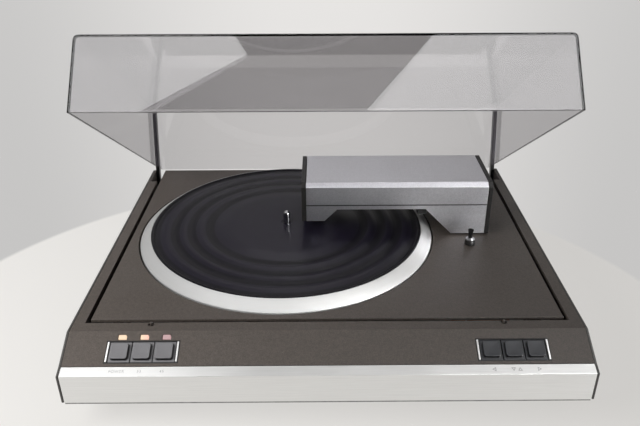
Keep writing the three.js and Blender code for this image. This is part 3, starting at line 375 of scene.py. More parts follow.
def round_edges(made, width, segments, angle):
    """Rounds the edges that are sharper than the angle."""
    bevel = made.modifiers.new("Rounded edges", "BEVEL")
    bevel.width = width
    bevel.segments = segments
    bevel.limit_method = "ANGLE"
    bevel.angle_limit = math.radians(angle)
    bevel.harden_normals = True


def dress(node, look, edge=None, segments=2):
    """Keeps a CAD node: its loose triangles are welded, its sharp edges rounded, and it gets its finish."""
    kept = NODES[node]
    kept.material_slots[0].material = finish(look)
    kept.modifiers.new("Weld", "WELD").merge_threshold = 1e-5
    if edge:
        round_edges(kept, edge, segments, 32)


def refine(node, name, look, angle=40, edge=None):
    """A merged copy of a CAD node with smooth shading on its round faces, which stands for the node."""
    mesh = NODES[node].data.copy()
    mesh.name = name
    if mesh.has_custom_normals:
        mesh.attributes.remove(mesh.attributes["custom_normal"])
    tidy(mesh, angle)
    made = piece(name, mesh, look, NODES[node]["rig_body"], (node,))
    if edge:
        round_edges(made, edge, 2, angle)
    return made


# Shading

class Tree:
    """Adds nodes to one node tree. A plain value is set on its socket, and a socket is linked to it."""

    def __init__(self, tree):
        self.tree = tree

    def put(self, value, socket):
        if isinstance(value, bpy.types.NodeSocket):
            self.tree.links.new(value, socket)
        else:
            socket.default_value = (*value, 1.0)[:4] if socket.type == "RGBA" else value

    def node(self, kind, sockets=None, **settings):
        made = self.tree.nodes.new(kind)
        for key, value in settings.items():
            setattr(made, key, value)
        for key, value in (sockets or {}).items():
            self.put(value, made.inputs[key])
        return made

    def link(self, made, **sockets):
        """Fills inputs of a node, whose names are written with underscores here."""
        for key, value in sockets.items():
            self.put(value, made.inputs[key.replace("_", " ")])

    def group(self, name, **sockets):
        made = self.node("ShaderNodeGroup", node_tree=bpy.data.node_groups[name])
        self.link(made, **sockets)
        return made.outputs

    def math(self, operation, a, b=0.0):
        return self.node("ShaderNodeMath", {0: a, 1: b}, operation=operation).outputs[0]

    def vector(self, operation, a, b=(0, 0, 0)):
        """The outputs of vector maths: Vector, or Value for a length or a dot product."""
        return self.node("ShaderNodeVectorMath", {0: a, 1: b}, operation=operation).outputs

    def fit(self, value, low, high, to_low=0.0, to_high=1.0, smooth=False):
        kind = "SMOOTHSTEP" if smooth else "LINEAR"
        return self.node("ShaderNodeMapRange", {0: value, 1: low, 2: high, 3: to_low, 4: to_high},
                         interpolation_type=kind).outputs[0]

    def mix(self, factor, a, b):
        return self.node("ShaderNodeMix", {0: factor, 6: a, 7: b}, data_type="RGBA").outputs[2]

    def noise(self, vector, scale, detail, roughness):
        return self.node("ShaderNodeTexNoise", {"Vector": vector, "Scale": scale, "Detail": detail,
                                                "Roughness": roughness}).outputs[0]

    def place(self):
        return self.node("ShaderNodeTexCoord").outputs["Object"]

    def parts(self, vector):
        return self.node("ShaderNodeSeparateXYZ", {0: vector}).outputs

    def apart(self, a, b):
        """How far two values lie apart."""
        return self.math("ABSOLUTE", self.math("SUBTRACT", a, b))

    def smudged(self, low, high, scale=18.0):
        """A roughness from low to high, by the smudges of handling."""
        return self.fit(self.group("Dust", Smudge_Scale=scale)["Smudge"], 0.0, 1.0, low, high)

    def bump(self, height, distance):
        return self.node("ShaderNodeBump", {"Height": height, "Distance": distance,
                                            "Strength": 1.0}).outputs[0]


def new_group(name, inputs, outputs):
    """A node group with named inputs and their values, and outputs with their kinds: its tree, its inputs and
    its output node."""
    made = bpy.data.node_groups.new(name, "ShaderNodeTree")
    for label, value in inputs.items():
        kind = "NodeSocketVector" if isinstance(value, tuple) else "NodeSocketFloat"
        made.interface.new_socket(name=label, in_out="INPUT", socket_type=kind).default_value = value
    for label, kind in outputs.items():
        made.interface.new_socket(name=label, in_out="OUTPUT", socket_type="NodeSocket" + kind)
    t = Tree(made)
    return t, t.node("NodeGroupInput").outputs, t.node("NodeGroupOutput")


def grain_group():
    """Sprayed or moulded grain: fine noise with a little coarse noise in it, spread about its middle."""
    t, given, out = new_group("Grain", {"Scale": 900.0, "Blotch": 0.3, "Contrast": 0.15},
                              {"Mask": "Float", "Height": "Float"})
    place = t.place()
    fine = t.noise(place, given["Scale"], 3.0, 0.65)
    coarse = t.noise(place, t.math("MULTIPLY", given["Scale"], 0.3), 2.0, 0.55)
    both = t.node("ShaderNodeMix", {0: given["Blotch"], 2: fine, 3: coarse}, data_type="FLOAT").outputs[0]
    mask = t.fit(both, t.math("SUBTRACT", 0.5, given["Contrast"]), t.math("ADD", 0.5, given["Contrast"]))
    t.link(out, Mask=mask, Height=fine)


def drawn_group():
    """Drawn or turned metal: noise on a place that is stretched along the lines."""
    t, given, out = new_group("Drawn lines", {"Vector": (0, 0, 0), "Stretch": (1, 1, 1), "Scale": 1500.0},
                              {"Value": "Float"})
    place = t.vector("MULTIPLY", given["Vector"], given["Stretch"])["Vector"]
    t.link(out, Value=t.noise(place, given["Scale"], 2.0, 0.6))


def ring_group():
    """Distance from a vertical axis: the length of the place across it, as a place for lines round it."""
    t, given, out = new_group("Rings", {"Centre": (0, 0, 0)}, {"Radius": "Float", "Vector": "Vector"})
    away = t.vector("SUBTRACT", t.place(), given["Centre"])["Vector"]
    radius = t.vector("LENGTH", t.vector("MULTIPLY", away, (1, 1, 0))["Vector"])["Value"]
    t.link(out, Radius=radius,
           Vector=t.node("ShaderNodeCombineXYZ", {0: radius, 2: t.parts(away)[2]}).outputs[0])


def dust_group():
    """Handling and dust: wide soft smudges, and sparse specks where a cell's middle is near."""
    t, given, out = new_group("Dust", {"Smudge Scale": 18.0, "Speck Scale": 260.0},
                              {"Smudge": "Float", "Speck": "Float"})
    place = t.place()
    smudge = t.fit(t.noise(place, given["Smudge Scale"], 4.0, 0.6), 0.35, 0.68)
    cells = t.node("ShaderNodeTexVoronoi", {"Vector": place, "Scale": given["Speck Scale"]}).outputs
    near = t.fit(cells["Distance"], 0.12, 0.0)
    few = t.fit(t.node("ShaderNodeSeparateColor", {0: cells["Color"]}).outputs[0], 0.86, 0.9)
    t.link(out, Smudge=smudge, Speck=t.math("MULTIPLY", near, few))


def new_material(name, constants, build):
    """A material with one Principled shader. Constants stay on its sockets, and build adds its patterns."""
    if "Grain" not in bpy.data.node_groups:
        for group in (grain_group, drawn_group, ring_group, dust_group):
            group()
    made = bpy.data.materials.new(name)
    made.use_nodes = True
    made.node_tree.nodes.clear()
    t = Tree(made.node_tree)
    shader = t.node("ShaderNodeBsdfPrincipled", constants)
    out = t.node("ShaderNodeOutputMaterial", {"Surface": shader.outputs[0]})
    build(t, shader, out)
    return made


def scaled(base, share):
    return tuple(c * share for c in base)


def pair(base, low, high):
    """Two tones of a colour, at a low and a high share of its brightness."""
    return scaled(base, low), scaled(base, high)


def grained(name, dark, light, roughness, scale, contrast, depth, metallic=0.0, blotch=0.3, dusty=0.0,
            specular=0.5, marked=None):
    """Sprayed paint or moulded plastic: two tones of grain, its bump, smudges in the gloss, some dust, and
    the marks that marked lays over its tones."""
    def build(t, shader, out):
        grain = t.group("Grain", Scale=scale, Blotch=blotch, Contrast=contrast)
        tones = t.mix(grain["Mask"], dark, light)
        if marked:
            tones = marked(t, tones)
        if dusty:
            tones = t.mix(t.math("MULTIPLY", t.group("Dust")["Speck"], dusty), tones, (0.55, 0.54, 0.52))
        t.link(shader, Base_Color=tones, Roughness=t.smudged(*roughness),
               Normal=t.bump(grain["Height"], depth))
    return new_material(name, {"Metallic": metallic, "Specular IOR Level": specular}, build)


def lined(name, base, roughness, stretch=(1, 1, 1), scale=1500.0, tint=0.05, depth=0.00002, metallic=1.0,
          centre=None):
    """Metal drawn along an axis, or turned about a vertical one through a centre: its fine lines change its
    tone, its gloss and its bump a little."""
    def build(t, shader, out):
        place = t.group("Rings", Centre=centre)["Vector"] if centre else t.place()
        lines = t.group("Drawn lines", Vector=place, Stretch=stretch, Scale=scale)["Value"]
        gloss = t.math("ADD", t.fit(lines, 0.3, 0.7, roughness * 0.88, roughness * 1.12),
                       t.smudged(-0.02, 0.03))
        t.link(shader, Base_Color=t.mix(t.fit(lines, 0.3, 0.7), *pair(base, 1 - tint, 1 + tint)),
               Roughness=gloss, Normal=t.bump(lines, depth))
    return new_material(name, {"Metallic": metallic}, build)


def platter_centre():
    """Middle of the platter's top, in metres."""
    low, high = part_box("platter")
    return ((low[0] + high[0]) / 2, (low[1] + high[1]) / 2, high[2])


def bridge_paint(f):
    """Speckled silver paint, with painted shade along the seam between the folded cover and the casting, for
    the shadow in its narrow gap.
    """
    def seam(t, tones):
        # Painted shade: the paint turns dark within 0.8 mm of the seam, for the shadow in the gap
        painted_seam_shadow = t.fit(t.apart(t.parts(t.place())[2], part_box("bridge_cover")[0][2]), 0.0008, 0.0004)
        return t.mix(painted_seam_shadow, tones, scaled(f.silver_dark, 0.12))
    return grained("Bridge paint", f.silver_dark, f.silver_light, (0.32, 0.38), 900.0, 0.25, 0.00028,
                   metallic=1.0, blotch=0.2, marked=seam)


def cap_plastic(name, base):
    """Moulded caps: the wall of each pad is painted near black between its flange and the rounding of its
    rim, as painted shade for the shadow on the pad's sides.
    """
    def walls(t, tones):
        above = t.vector("SUBTRACT", t.place(), tuple(ORIGIN))["Vector"]
        height = t.vector("DOT_PRODUCT", above, (0.0, -math.sin(SLOPE), math.cos(SLOPE)))["Value"]
        low, high = (TILE_TOP + 0.06) * MM, (PAD_TOP - PAD_RIM) * MM
        # Painted shade: the pads' walls turn near black, for the shadow on their sides and at their foot
        wall = t.math("MULTIPLY", t.fit(height, low, low + 0.0001), t.fit(height, high + 0.0002, high))
        return t.mix(wall, tones, (0.004, 0.004, 0.005))
    return grained(name, *pair(base, 0.9, 1.08), (0.38, 0.46), 1700.0, 0.2, 0.00004, marked=walls)


def mat_rubber(f):
    """Ribbed rubber: its fine grooves run round the spindle, shade is painted into the valleys of its waves,
    which are also rougher, and dust lies on it. The valleys' mask is 1 within 4 mm of a valley's radius and 0
    from 5.5 mm on."""
    def build(t, shader, out):
        rings = t.group("Rings", Centre=platter_centre())
        lines = t.group("Drawn lines", Vector=rings["Vector"], Scale=1400.0)["Value"]
        valley_shade_and_roughness = 0.0
        for valley in MAT_VALLEYS:
            away = t.apart(rings["Radius"], valley * sizes().mat_radius)
            valley_shade_and_roughness = t.math("MAXIMUM", valley_shade_and_roughness, t.fit(away, 0.0055, 0.004, smooth=True))
        tones = t.mix(t.fit(lines, 0.3, 0.7), *pair(f.mat, 0.95, 1.35))
        # Painted shade: the valleys of the waves are darkened
        tones = t.mix(valley_shade_and_roughness, tones, scaled(f.mat, 0.4))
        dust = t.math("MULTIPLY", t.group("Dust", Speck_Scale=320.0)["Speck"], 0.3)
        t.link(shader, Base_Color=t.mix(dust, tones, (0.4, 0.4, 0.4)), Normal=t.bump(lines, 0.000012),
               Roughness=t.math("ADD", t.smudged(0.29, 0.32), t.math("MULTIPLY", valley_shade_and_roughness, 0.12)))
    return new_material("Mat rubber", {"Specular IOR Level": 0.18}, build)


def lamp_windows(f):
    """Three windows told apart by their place across: the first two are lit, the second a little rosier, and
    the third is not lit, though it still glows in its own tone as painted light."""
    def build(t, shader, out):
        low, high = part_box("indicator_lenses")
        across = t.fit(t.parts(t.place())[0], low[0], high[0])
        grain = t.group("Grain", Scale=700.0, Blotch=0.5, Contrast=0.25)["Mask"]
        lit = t.mix(grain, *pair(f.lamp_warm, 0.92, 1.0))
        rosy = t.mix(t.fit(across, 0.45, 0.55), lit, t.mix(0.45, f.lamp_warm, tone("FFB0B0")))
        # Painted light: the unlit window glows too, in its own tone
        dim = t.mix(grain, *pair(f.unlit_window_glow, 1.0, 1.1))
        t.link(shader, Emission_Color=t.mix(t.fit(across, 0.66, 0.67), rosy, dim))
    return new_material("Lamp windows", {"Base Color": (0.02, 0.015, 0.015), "Roughness": 0.25,
                                         "Emission Strength": 0.95}, build)


def clear_acrylic(f):
    """Smoked acrylic: clear glass that darkens with its depth. Lamps shine through it as a tinted pane."""
    def build(t, shader, out):
        t.link(shader, Roughness=t.smudged(0.0, 0.004, 9.0))
        pane = t.node("ShaderNodeBsdfTransparent", {"Color": scaled(f.acrylic, 1.35)})
        shadow = t.node("ShaderNodeLightPath").outputs["Is Shadow Ray"]
        both = t.node("ShaderNodeMixShader", {0: shadow, 1: shader.outputs[0], 2: pane.outputs[0]})
        smoke = t.node("ShaderNodeVolumeAbsorption", {"Color": f.acrylic, "Density": 340.0})
        t.link(out, Surface=both.outputs[0], Volume=smoke.outputs[0])
    return new_material("Clear acrylic", {"Base Color": (1, 1, 1), "Transmission Weight": 1.0, "IOR": 1.49,
                                          "Specular IOR Level": 0.8}, build)


def arm_steel(f):
    """Blackened steel, with a black sleeve round the arm's end below a height of 6 mm over the deck."""
    def sleeve(t, tones):
        bare = t.fit(t.parts(t.place())[2], ORIGIN[2] + 0.006, ORIGIN[2] + 0.007)
        return t.mix(bare, tone("0E0E0F"), tones)
    return grained("Blackened steel", tone("3F3D41"), tone("504E52"), (0.315, 0.392), 900.0, 0.25, 0.00003,
                   metallic=0.3, marked=sleeve)


def threaded_brass(f):
    """Brass with the turns of its thread as a wave along X."""
    def build(t, shader, out):
        thread = t.node("ShaderNodeTexWave", {"Vector": t.place(), "Scale": 80.0, "Distortion": 0.0},
                        bands_direction="X").outputs["Fac"]
        t.link(shader, Base_Color=t.mix(thread, tone("86682F"), tone("BE9A52")),
               Roughness=t.smudged(0.28, 0.38), Normal=t.bump(thread, 0.0003))
    return new_material("Threaded brass", {"Metallic": 1.0}, build)


def bristle_fibre(f):
    """Black fibres, a little lighter to their tips."""
    def build(t, shader, out):
        low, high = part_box("brush_bristles")
        tips = t.fit(t.parts(t.place())[2], low[2], high[2])
        t.link(shader, Base_Color=t.mix(tips, tone("0C0C0D"), tone("222224")))
    return new_material("Bristle fibre", {"Roughness": 0.5}, build)


# Grained ones: name, dark and light, roughness, and the grain's scale, contrast and depth. Lined ones: name,
# tone, roughness and stretch
FINISHES = {
    "deck_paint": lambda f: grained(
        "Deck paint", f.deck_dark, f.deck_light, (0.45, 0.56), 1100.0, 0.2, 0.00014, blotch=0.25, dusty=0.15,
        specular=0.3),
    "panel_plastic": lambda f: grained(
        "Panel plastic", *pair(f.panel, 0.85, 1.15), (0.45, 0.56), 1400.0, 0.2, 0.00006, dusty=0.15),
    "end_plastic": lambda f: grained(
        "End plate plastic", *pair(f.panel, 0.35, 0.5), (0.405, 0.504), 1500.0, 0.2, 0.00005, specular=0.22),
    "black_plastic": lambda f: grained(
        "Black plastic", *pair(f.black, 0.8, 1.3), (0.378, 0.4704), 1500.0, 0.2, 0.00005),
    "zinc_sheet": lambda f: grained(
        "Zinc sheet", tone("7C7D7C"), tone("9A9B99"), (0.378, 0.4704), 160.0, 0.14, 0.00004, metallic=0.8),
    "circuit_board": lambda f: grained(
        "Circuit board", tone("1F4A2E"), tone("35673F"), (0.315, 0.392), 300.0, 0.1, 0.0001),
    "magnet_ferrite": lambda f: grained(
        "Magnet ferrite", tone("2A2A2C"), tone("3A3A3C"), (0.54, 0.672), 1400.0, 0.2, 0.0001),
    "foot_rubber": lambda f: grained(
        "Foot rubber", tone("1E1E1F"), tone("303031"), (0.63, 0.784), 1200.0, 0.2, 0.0001, dusty=0.4),
    "label_ink": lambda f: grained(
        "Label ink", tone("A4A4A4"), tone("B6B6B6"), (0.54, 0.672), 900.0, 0.2, 0.00001),
    "grey_cap": lambda f: cap_plastic("Grey cap plastic", f.cap_grey),
    "dark_cap": lambda f: cap_plastic("Dark cap plastic", f.cap_dark),
    "fascia_aluminium": lambda f: lined(
        "Fascia aluminium", scaled(f.aluminium, 1.15), 0.34, (0.02, 1, 1), tint=0.03),
    "platter_aluminium": lambda f: lined(
        "Platter aluminium", scaled(f.aluminium, 0.84), 0.56, scale=1600.0, metallic=0.6,
        centre=platter_centre()),
    "steel": lambda f: lined("Polished steel", tone("B4B4B6"), 0.2, (1, 1, 0.1), tint=0.04),
    "satin_steel": lambda f: lined("Satin steel", tone("9A9A9C"), 0.35, (1, 0.1, 1)),
    "slat_aluminium": lambda f: lined("Slat aluminium", tone("C6C6C5"), 0.3, (1, 0.1, 0.1), tint=0.03),
    "copper_wire": lambda f: lined(
        "Copper windings", tone("A8653C"), 0.38, (1, 1, 0.2), tint=0.2, depth=0.0002),
    "brass": lambda f: lined("Brass", tone("B9964F"), 0.28, (1, 0.15, 1)),
    "bridge_paint": bridge_paint, "mat_rubber": mat_rubber, "lamp_windows": lamp_windows,
    "clear_acrylic": clear_acrylic, "arm_steel": arm_steel, "threaded_brass": threaded_brass,
    "bristle_fibre": bristle_fibre,
}
MADE = {}


def finish(name):
    """A material by its short name, built the first time that it is asked for."""
    if name not in MADE:
        MADE[name] = FINISHES[name](finishes())
    return MADE[name]


# Pieces

class TURNTABLE_OT_plinth(Operator):
    """Frame, side panels, fascia, rear panel and tray, with rounded sheet edges"""
    bl_idname = "turntable.plinth"
    bl_label = "Plinth"

    def execute(self, context):
        s = sizes()
        dress("top_frame", "deck_paint", s.sheet_edge)
        dress("side_panel_left", "panel_plastic", s.moulded_edge, 3)
        dress("side_panel_right", "panel_plastic", s.moulded_edge, 3)
        dress("front_fascia", "fascia_aluminium", 0.0003)
        dress("rear_panel", "panel_plastic", s.sheet_edge)
        dress("base_tray", "zinc_sheet", s.sheet_edge)
        return {"FINISHED"}


class TURNTABLE_OT_feet(Operator):
    """Four rubber feet: a turned profile with a soft shoulder and a tread groove"""
    bl_idname = "turntable.feet"
    bl_label = "Feet"

    def execute(self, context):
        for place in ("front_left", "front_right", "rear_left", "rear_right"):
            node = "foot_" + place
            low, high = box_mm(node)[:, 2]
            r, shoulder, groove = radius_of(node), (low + high) / 2, low + 1.2
            neck = r * 17 / 21
            profile = fillet([[0, high], [r, high], [r, shoulder], [neck, low], [neck * 0.8, low],
                              [neck * 0.72, groove], [0, groove]], [0, 1, 2, 1.5, 0.5, 0.5, 0])
            turned("rubber_" + node, profile, "foot_rubber", node, angle=38)
        return {"FINISHED"}


class TURNTABLE_OT_deck(Operator):
    """Floating deck with the platter's well, and the front bumpers"""
    bl_idname = "turntable.deck"
    bl_label = "Floating deck"

    def execute(self, context):
        dress("subchassis", "deck_paint", sizes().sheet_edge)
        for node in ("cover_bumper_left", "cover_bumper_right"):
            r = radius_of(node) / 2
            low, high = box_mm(node)[:, 2]
            profile = fillet([[0, low], [r, low], [r, high], [0, high]], [0, 0.2, 1.6, 0])
            turned("rubber_" + node, profile, "deck_paint", node, count=32, angle=38)
        return {"FINISHED"}


class TURNTABLE_OT_platter(Operator):
    """Platter with its turned crown, waved rubber mat and steel spindle"""
    bl_idname = "turntable.platter"
    bl_label = "Platter, mat and spindle"

    def execute(self, context):
        centre = np.array(platter_centre()) / MM
        self.platter(centre)
        self.mat(centre)
        low, high = box_mm("spindle")[:, 2]
        radius, dome = 3.6, 3.0
        a = np.linspace(0, math.pi / 2, 10)
        tip = np.stack([radius * np.cos(a), high - dome + dome * np.sin(a)], -1)
        profile = np.concatenate([[[0, low], [radius, low], [radius, high - 9], [radius, high - 3.4]], tip])
        turned("steel_spindle", profile, "steel", "spindle", centre, 48)
        dress("rotor_magnet", "magnet_ferrite", 0.0003)
        return {"FINISHED"}

    def platter(self, centre):
        """Its profile: the crown, the rim, the hollow under it and the hub. From the mat to the rim the
        crown's height is top (1 - t) + 2 t (1 - t), for t from 0 to 1."""
        base = ORIGIN[2] / MM
        radius, inner = sizes().platter_radius / MM, sizes().mat_radius / MM + 0.3
        bottom, top = box_mm("platter_mat")[:, 2] - base - 0.3
        skirt = box_mm("platter")[0, 2] - base
        rim, web, hub, bore, wall = -4.5, 0.9, 20.0, 3.9, 3.0
        t = np.linspace(0, 1, 20)
        crown = np.stack([inner + (radius - inner) * t, top * (1 - t) + 2 * t * (1 - t)], -1)
        profile = np.concatenate([crown, [
            [radius, rim], [radius - wall, rim], [radius - wall, web], [hub, web], [hub, skirt],
            [bore, skirt], [bore, bottom], [inner, bottom]]])
        cuts = [0.4] + 18 * [0] + [0.5, 0.4] + 7 * [0.2]
        turned("satin_platter", fillet(profile, cuts, 4) + [0, base], "platter_aluminium",
               "platter", centre, 256, 30, closed=True)

    def mat(self, centre):
        """Its profile, from the bore over the ridges and valleys, whose corners are cut by 3, to its edge."""
        base, radius, bore = ORIGIN[2] / MM, sizes().mat_radius / MM, 3.9
        bottom, top = box_mm("platter_mat")[:, 2] - base
        waves = np.stack([np.ravel(np.column_stack([MAT_RIDGES, MAT_VALLEYS])) * radius,
                          np.tile([top, top - sizes().mat_wave / MM], len(MAT_RIDGES))], -1)
        profile = np.concatenate([[[bore, bottom], [bore, top - 0.3], [6, top - 0.3], [6.5, top]], waves,
                                  [[0.985 * radius, top], [radius, top - 0.4], [radius, bottom]]])
        cuts = [0, 0.3, 0.2, 0.4, 6] + [3.0] * 7 + [1.5, 0.5, 0]
        turned("rubber_mat", fillet(profile, cuts, 6) + [0, base], "mat_rubber", "platter_mat",
               centre, 256, closed=True)


CAPS = {
    "button_power": "grey_cap", "button_speed_low": "grey_cap", "button_speed_high": "grey_cap",
    "button_arm_back": "dark_cap", "button_lift": "dark_cap", "button_arm_in": "dark_cap",
}


class TURNTABLE_OT_controls(Operator):
    """Six push-button caps with raised pads, their bezels and slats, and the indicator windows"""
    bl_idname = "turntable.controls"
    bl_label = "Controls"

    def execute(self, context):
        for node, look in CAPS.items():
            x = middle(node)[0]
            foot = slab(x, ROW, 3, 3, low=-9.9, high=-2.4, radius=0.5, edge=0.3)
            formed(node + "_cap", [self.cap(x), on_slope(foot)], look, node, (node,), angle=55,
                   even=True)
        for node in ("button_bezel_left", "button_bezel_right"):
            x = middle(node)[0]
            outer, inner = (rectangle(x - half, x + half, ROW - tall, ROW + tall, radius)
                            for half, tall, radius in ((BEZEL_HALF, TILE / 2 + 0.9, 0.5),
                                                       (BEZEL_INNER, TILE / 2 + 0.3, 0.8)))
            ring = stack([outer, outer, inner, inner], [-2.6, -0.2, -0.2, -2.6], closed_ends=False)
            formed(node + "_frame", [on_slope(ring)], "black_plastic", "plinth", (node,),
                   angle=35, closed=True)
            slats = [on_slope(slab(c, ROW, 0.75, TILE / 2, low=-0.15, high=0.6, radius=0.2, edge=0.15))
                     for c in (x - SLAT_X, x + SLAT_X)]
            formed(node.replace("bezel", "slats"), slats, "slat_aluminium", "plinth",
                   angle=40, even=True)
        x = middle("indicator_lenses")[0]
        lenses = [slab(c, LENS_ROW, 3.25, 2, low=-4.3, high=0.4, radius=0.6, edge=0.25)
                  for c in (x - PITCH, x, x + PITCH)]
        lenses.append(slab(x, LENS_ROW, 26.2, 2.2, low=-5.3, high=-4.4, radius=0.5, edge=0.2))
        formed("lamp_lenses", [on_slope(grid) for grid in lenses], "lamp_windows", "plinth",
               ("indicator_lenses",), angle=40, even=True)
        return {"FINISHED"}

    def cap(self, x):
        """A cap as rings of rounded squares from its underside out, up over the tile, in to the pad's low
        flange, up its wall and over its rim, which draws in along a quarter circle, to its shallow dish."""
        dish, corner = sizes().cap_dish / MM, sizes().cap_corner / MM
        rings = [(side, radius, TILE_TOP + rise) for side, radius, rise in (
            (TILE, 0.7, -2), (TILE, 0.7, -0.3), (TILE - 0.2, 0.6, -0.08), (TILE - 0.6, 0.5, 0),
            (PAD + 0.9, corner, 0), (PAD + 0.9, corner, 0.2), (PAD, corner, 0.25))]
        rings += [(PAD - 2 * inset, corner - inset, PAD_TOP - drop)
                  for inset, drop in zip(*quarter(PAD_RIM, 5))]
        rings += [(PAD - 2 * inset, corner, PAD_TOP - dish * share)
                  for inset, share in ((0.9, 0.02), (2.5, 0.45), (4.5, 0.85))]
        loops = [rectangle(x - side / 2, x + side / 2, ROW - side / 2, ROW + side / 2, radius)
                 for side, radius, _ in rings]
        return on_slope(stack(loops, [level for _, _, level in rings]))


class TURNTABLE_OT_bridge(Operator):
    """Bridge: casting, folded cover and end plates, with the post that it turns on"""
    bl_idname = "turntable.bridge"
    bl_label = "Bridge"

    def execute(self, context):
        dress("bridge_frame", "bridge_paint", 0.0004)
        dress("bridge_cover", "bridge_paint", 0.0006, 3)
        dress("bridge_end_left", "end_plastic", 0.0006, 3)
        dress("bridge_end_right", "end_plastic", 0.0006, 3)
        refine("bridge_post", "turned_post", "steel", edge=0.0005)
        return {"FINISHED"}


class TURNTABLE_OT_brush(Operator):
    """Stylus brush: turned base and ferrule, and a tuft of separate strands"""
    bl_idname = "turntable.brush"
    bl_label = "Stylus brush"

    def execute(self, context):
        centre = middle("brush_base")
        foot = np.append(centre[:2], box_mm("brush_base")[0, 2] - 0.3)
        base = fillet([[0, 0.3], [5.5, 0.3], [5.5, 2.8], [4.9, 4.6], [3.8, 5.0], [0, 5.0]],
                      [0, 0.3, 0.8, 0.5, 0.5, 0]) + [0, foot[2]]
        turned("turned_brush_base", base, "end_plastic", "brush_base", centre)
        ferrule = fillet([[0, 5.3], [4.7, 5.3], [4.7, 6.9], [2.6, 6.9], [2.6, 8.1], [2.2, 8.1], [2.2, 7.0],
                          [0, 7.0]], [0, 0.25, 0.4, 0.3, 0.2, 0.1, 0.1, 0]) + [0, foot[2]]
        turned("turned_ferrule", ferrule, "satin_steel", "brush_ferrule", centre)
        root = slab(0, 0, 1.8, 1.8, low=7.2, high=8.2, radius=1.75, edge=0.1)
        formed("bristle_tuft", [(grid + foot) * MM for grid in (self.tuft(sizes().strands), root)],
               "bristle_fibre", "floating_deck", ("brush_bristles",), angle=60)
        return {"FINISHED"}

    def tuft(self, count):
        """Strands in a sunflower pattern: strand i stands at share sqrt((i + 1/2) / n) of the radius and at i
        times the golden angle, and leans out from 1.8 at its root to 3 at its tip. Each is a ring of sides at
        rising levels that draws in to its end."""
        i = np.arange(count)
        share = np.sqrt((i + 0.5) / count)[:, None, None]
        angle = (i * math.pi * (3 - math.sqrt(5)))[:, None, None]
        t = np.array([0, 0.3, 0.65, 0.93, 1.0, 1.0])[None, :, None]
        width = np.array([0.075, 0.075, 0.072, 0.06, 0.035, 0.0])[None, :, None]
        side = np.linspace(0, 2 * math.pi, 5, endpoint=False)[None, None]
        reach = share * (1.8 + 1.2 * t ** 1.4)
        root, tip = 7.3, 18.1 - 0.5 * np.modf(i * 0.618034)[0][:, None, None] - 0.5 * share ** 2
        x = reach * np.cos(angle) + width * np.cos(side)
        y = reach * np.sin(angle) + width * np.sin(side)
        z = root + (tip - root) * t + 0 * side
        return np.stack(np.broadcast_arrays(x, y, z), -1)


class TURNTABLE_OT_arm(Operator):
    """Carriage with its guide rod, screw and servo motor, and the short arm that it holds"""
    bl_idname = "turntable.arm"
    bl_label = "Carriage and arm"

    def execute(self, context):
        dress("carriage", "end_plastic", 0.0003)
        dress("tonearm", "satin_steel", 0.00025)
        dress("cartridge", "black_plastic", 0.0003)
        dress("stylus", "steel")
        refine("counterweight", "turned_counterweight", "brass", edge=0.0002)
        refine("guide_rod", "ground_guide_rod", "steel")
        refine("lead_screw", "brass_lead_screw", "threaded_brass")
        refine("servo_motor", "servo_can", "zinc_sheet", edge=0.0005)
        return {"FINISHED"}


class TURNTABLE_OT_cover(Operator):
    """Clear cover: one closed shell with rounded edges, and the dark arms of its hinge"""
    bl_idname = "turntable.cover"
    bl_label = "Dust cover"

    def execute(self, context):
        formed("clear_cover", [on_cover(self.shell())], "clear_acrylic", "lid", ("dust_cover",),
               angle=60, even=True)
        for side in ("left", "right"):
            dress("hinge_arm_" + side, "arm_steel", 0.0005)
            dress("hinge_bracket_" + side, "steel", 0.0003)
        return {"FINISHED"}

    def shell(self):
        """Rings of rectangles from the middle of the inner roof down the inner wall, round the rim and up the
        outer wall to the middle of the outer roof. The front and the rear lean in evenly with the height. The
        sides are vertical and draw in along a quarter circle to the roof. The outer edges are round, and the
        inner ones nearly sharp."""
        s = sizes()
        wall, corner, edge = s.cover_wall / MM, s.cover_corner / MM, s.cover_edge / MM

        def ring(z, inset, radius, draw=0.0, sharp=0.0):
            rise = (z - COVER_RIM) / (COVER_ROOF - COVER_RIM)
            side = COVER_HALF - inset - draw
            return rectangle(-side, side, COVER_FRONT + FRONT_LEAN * rise + inset + sharp,
                             COVER_REAR - REAR_LEAN * rise - inset - sharp, radius, 6)

        def crown(inset, bend, radius):
            draws, drops = quarter(bend, 12)
            reach = np.clip(radius - drops, 0, radius)
            ends = radius - np.sqrt(radius ** 2 - reach ** 2)
            return [(ring(z, inset, radius, draw, sharp), z)
                    for z, draw, sharp in zip(COVER_ROOF - inset - drops, draws, ends)]
        rings = crown(wall, corner - wall + 1.0, 0.4)[::-1]
        rings += [(ring(COVER_RIM + rise, inset, radius), COVER_RIM + rise) for inset, radius, rise in (
            (wall, 0.4, 0.5), (wall - 0.15, 0.5, 0.15), (wall - 0.5, 0.8, 0), (0.5, edge, 0),
            (0.15, edge, 0.15), (0, edge, 0.5))]
        rings += crown(0.0, corner, edge)
        return stack([loop for loop, _ in rings], [z for _, z in rings])


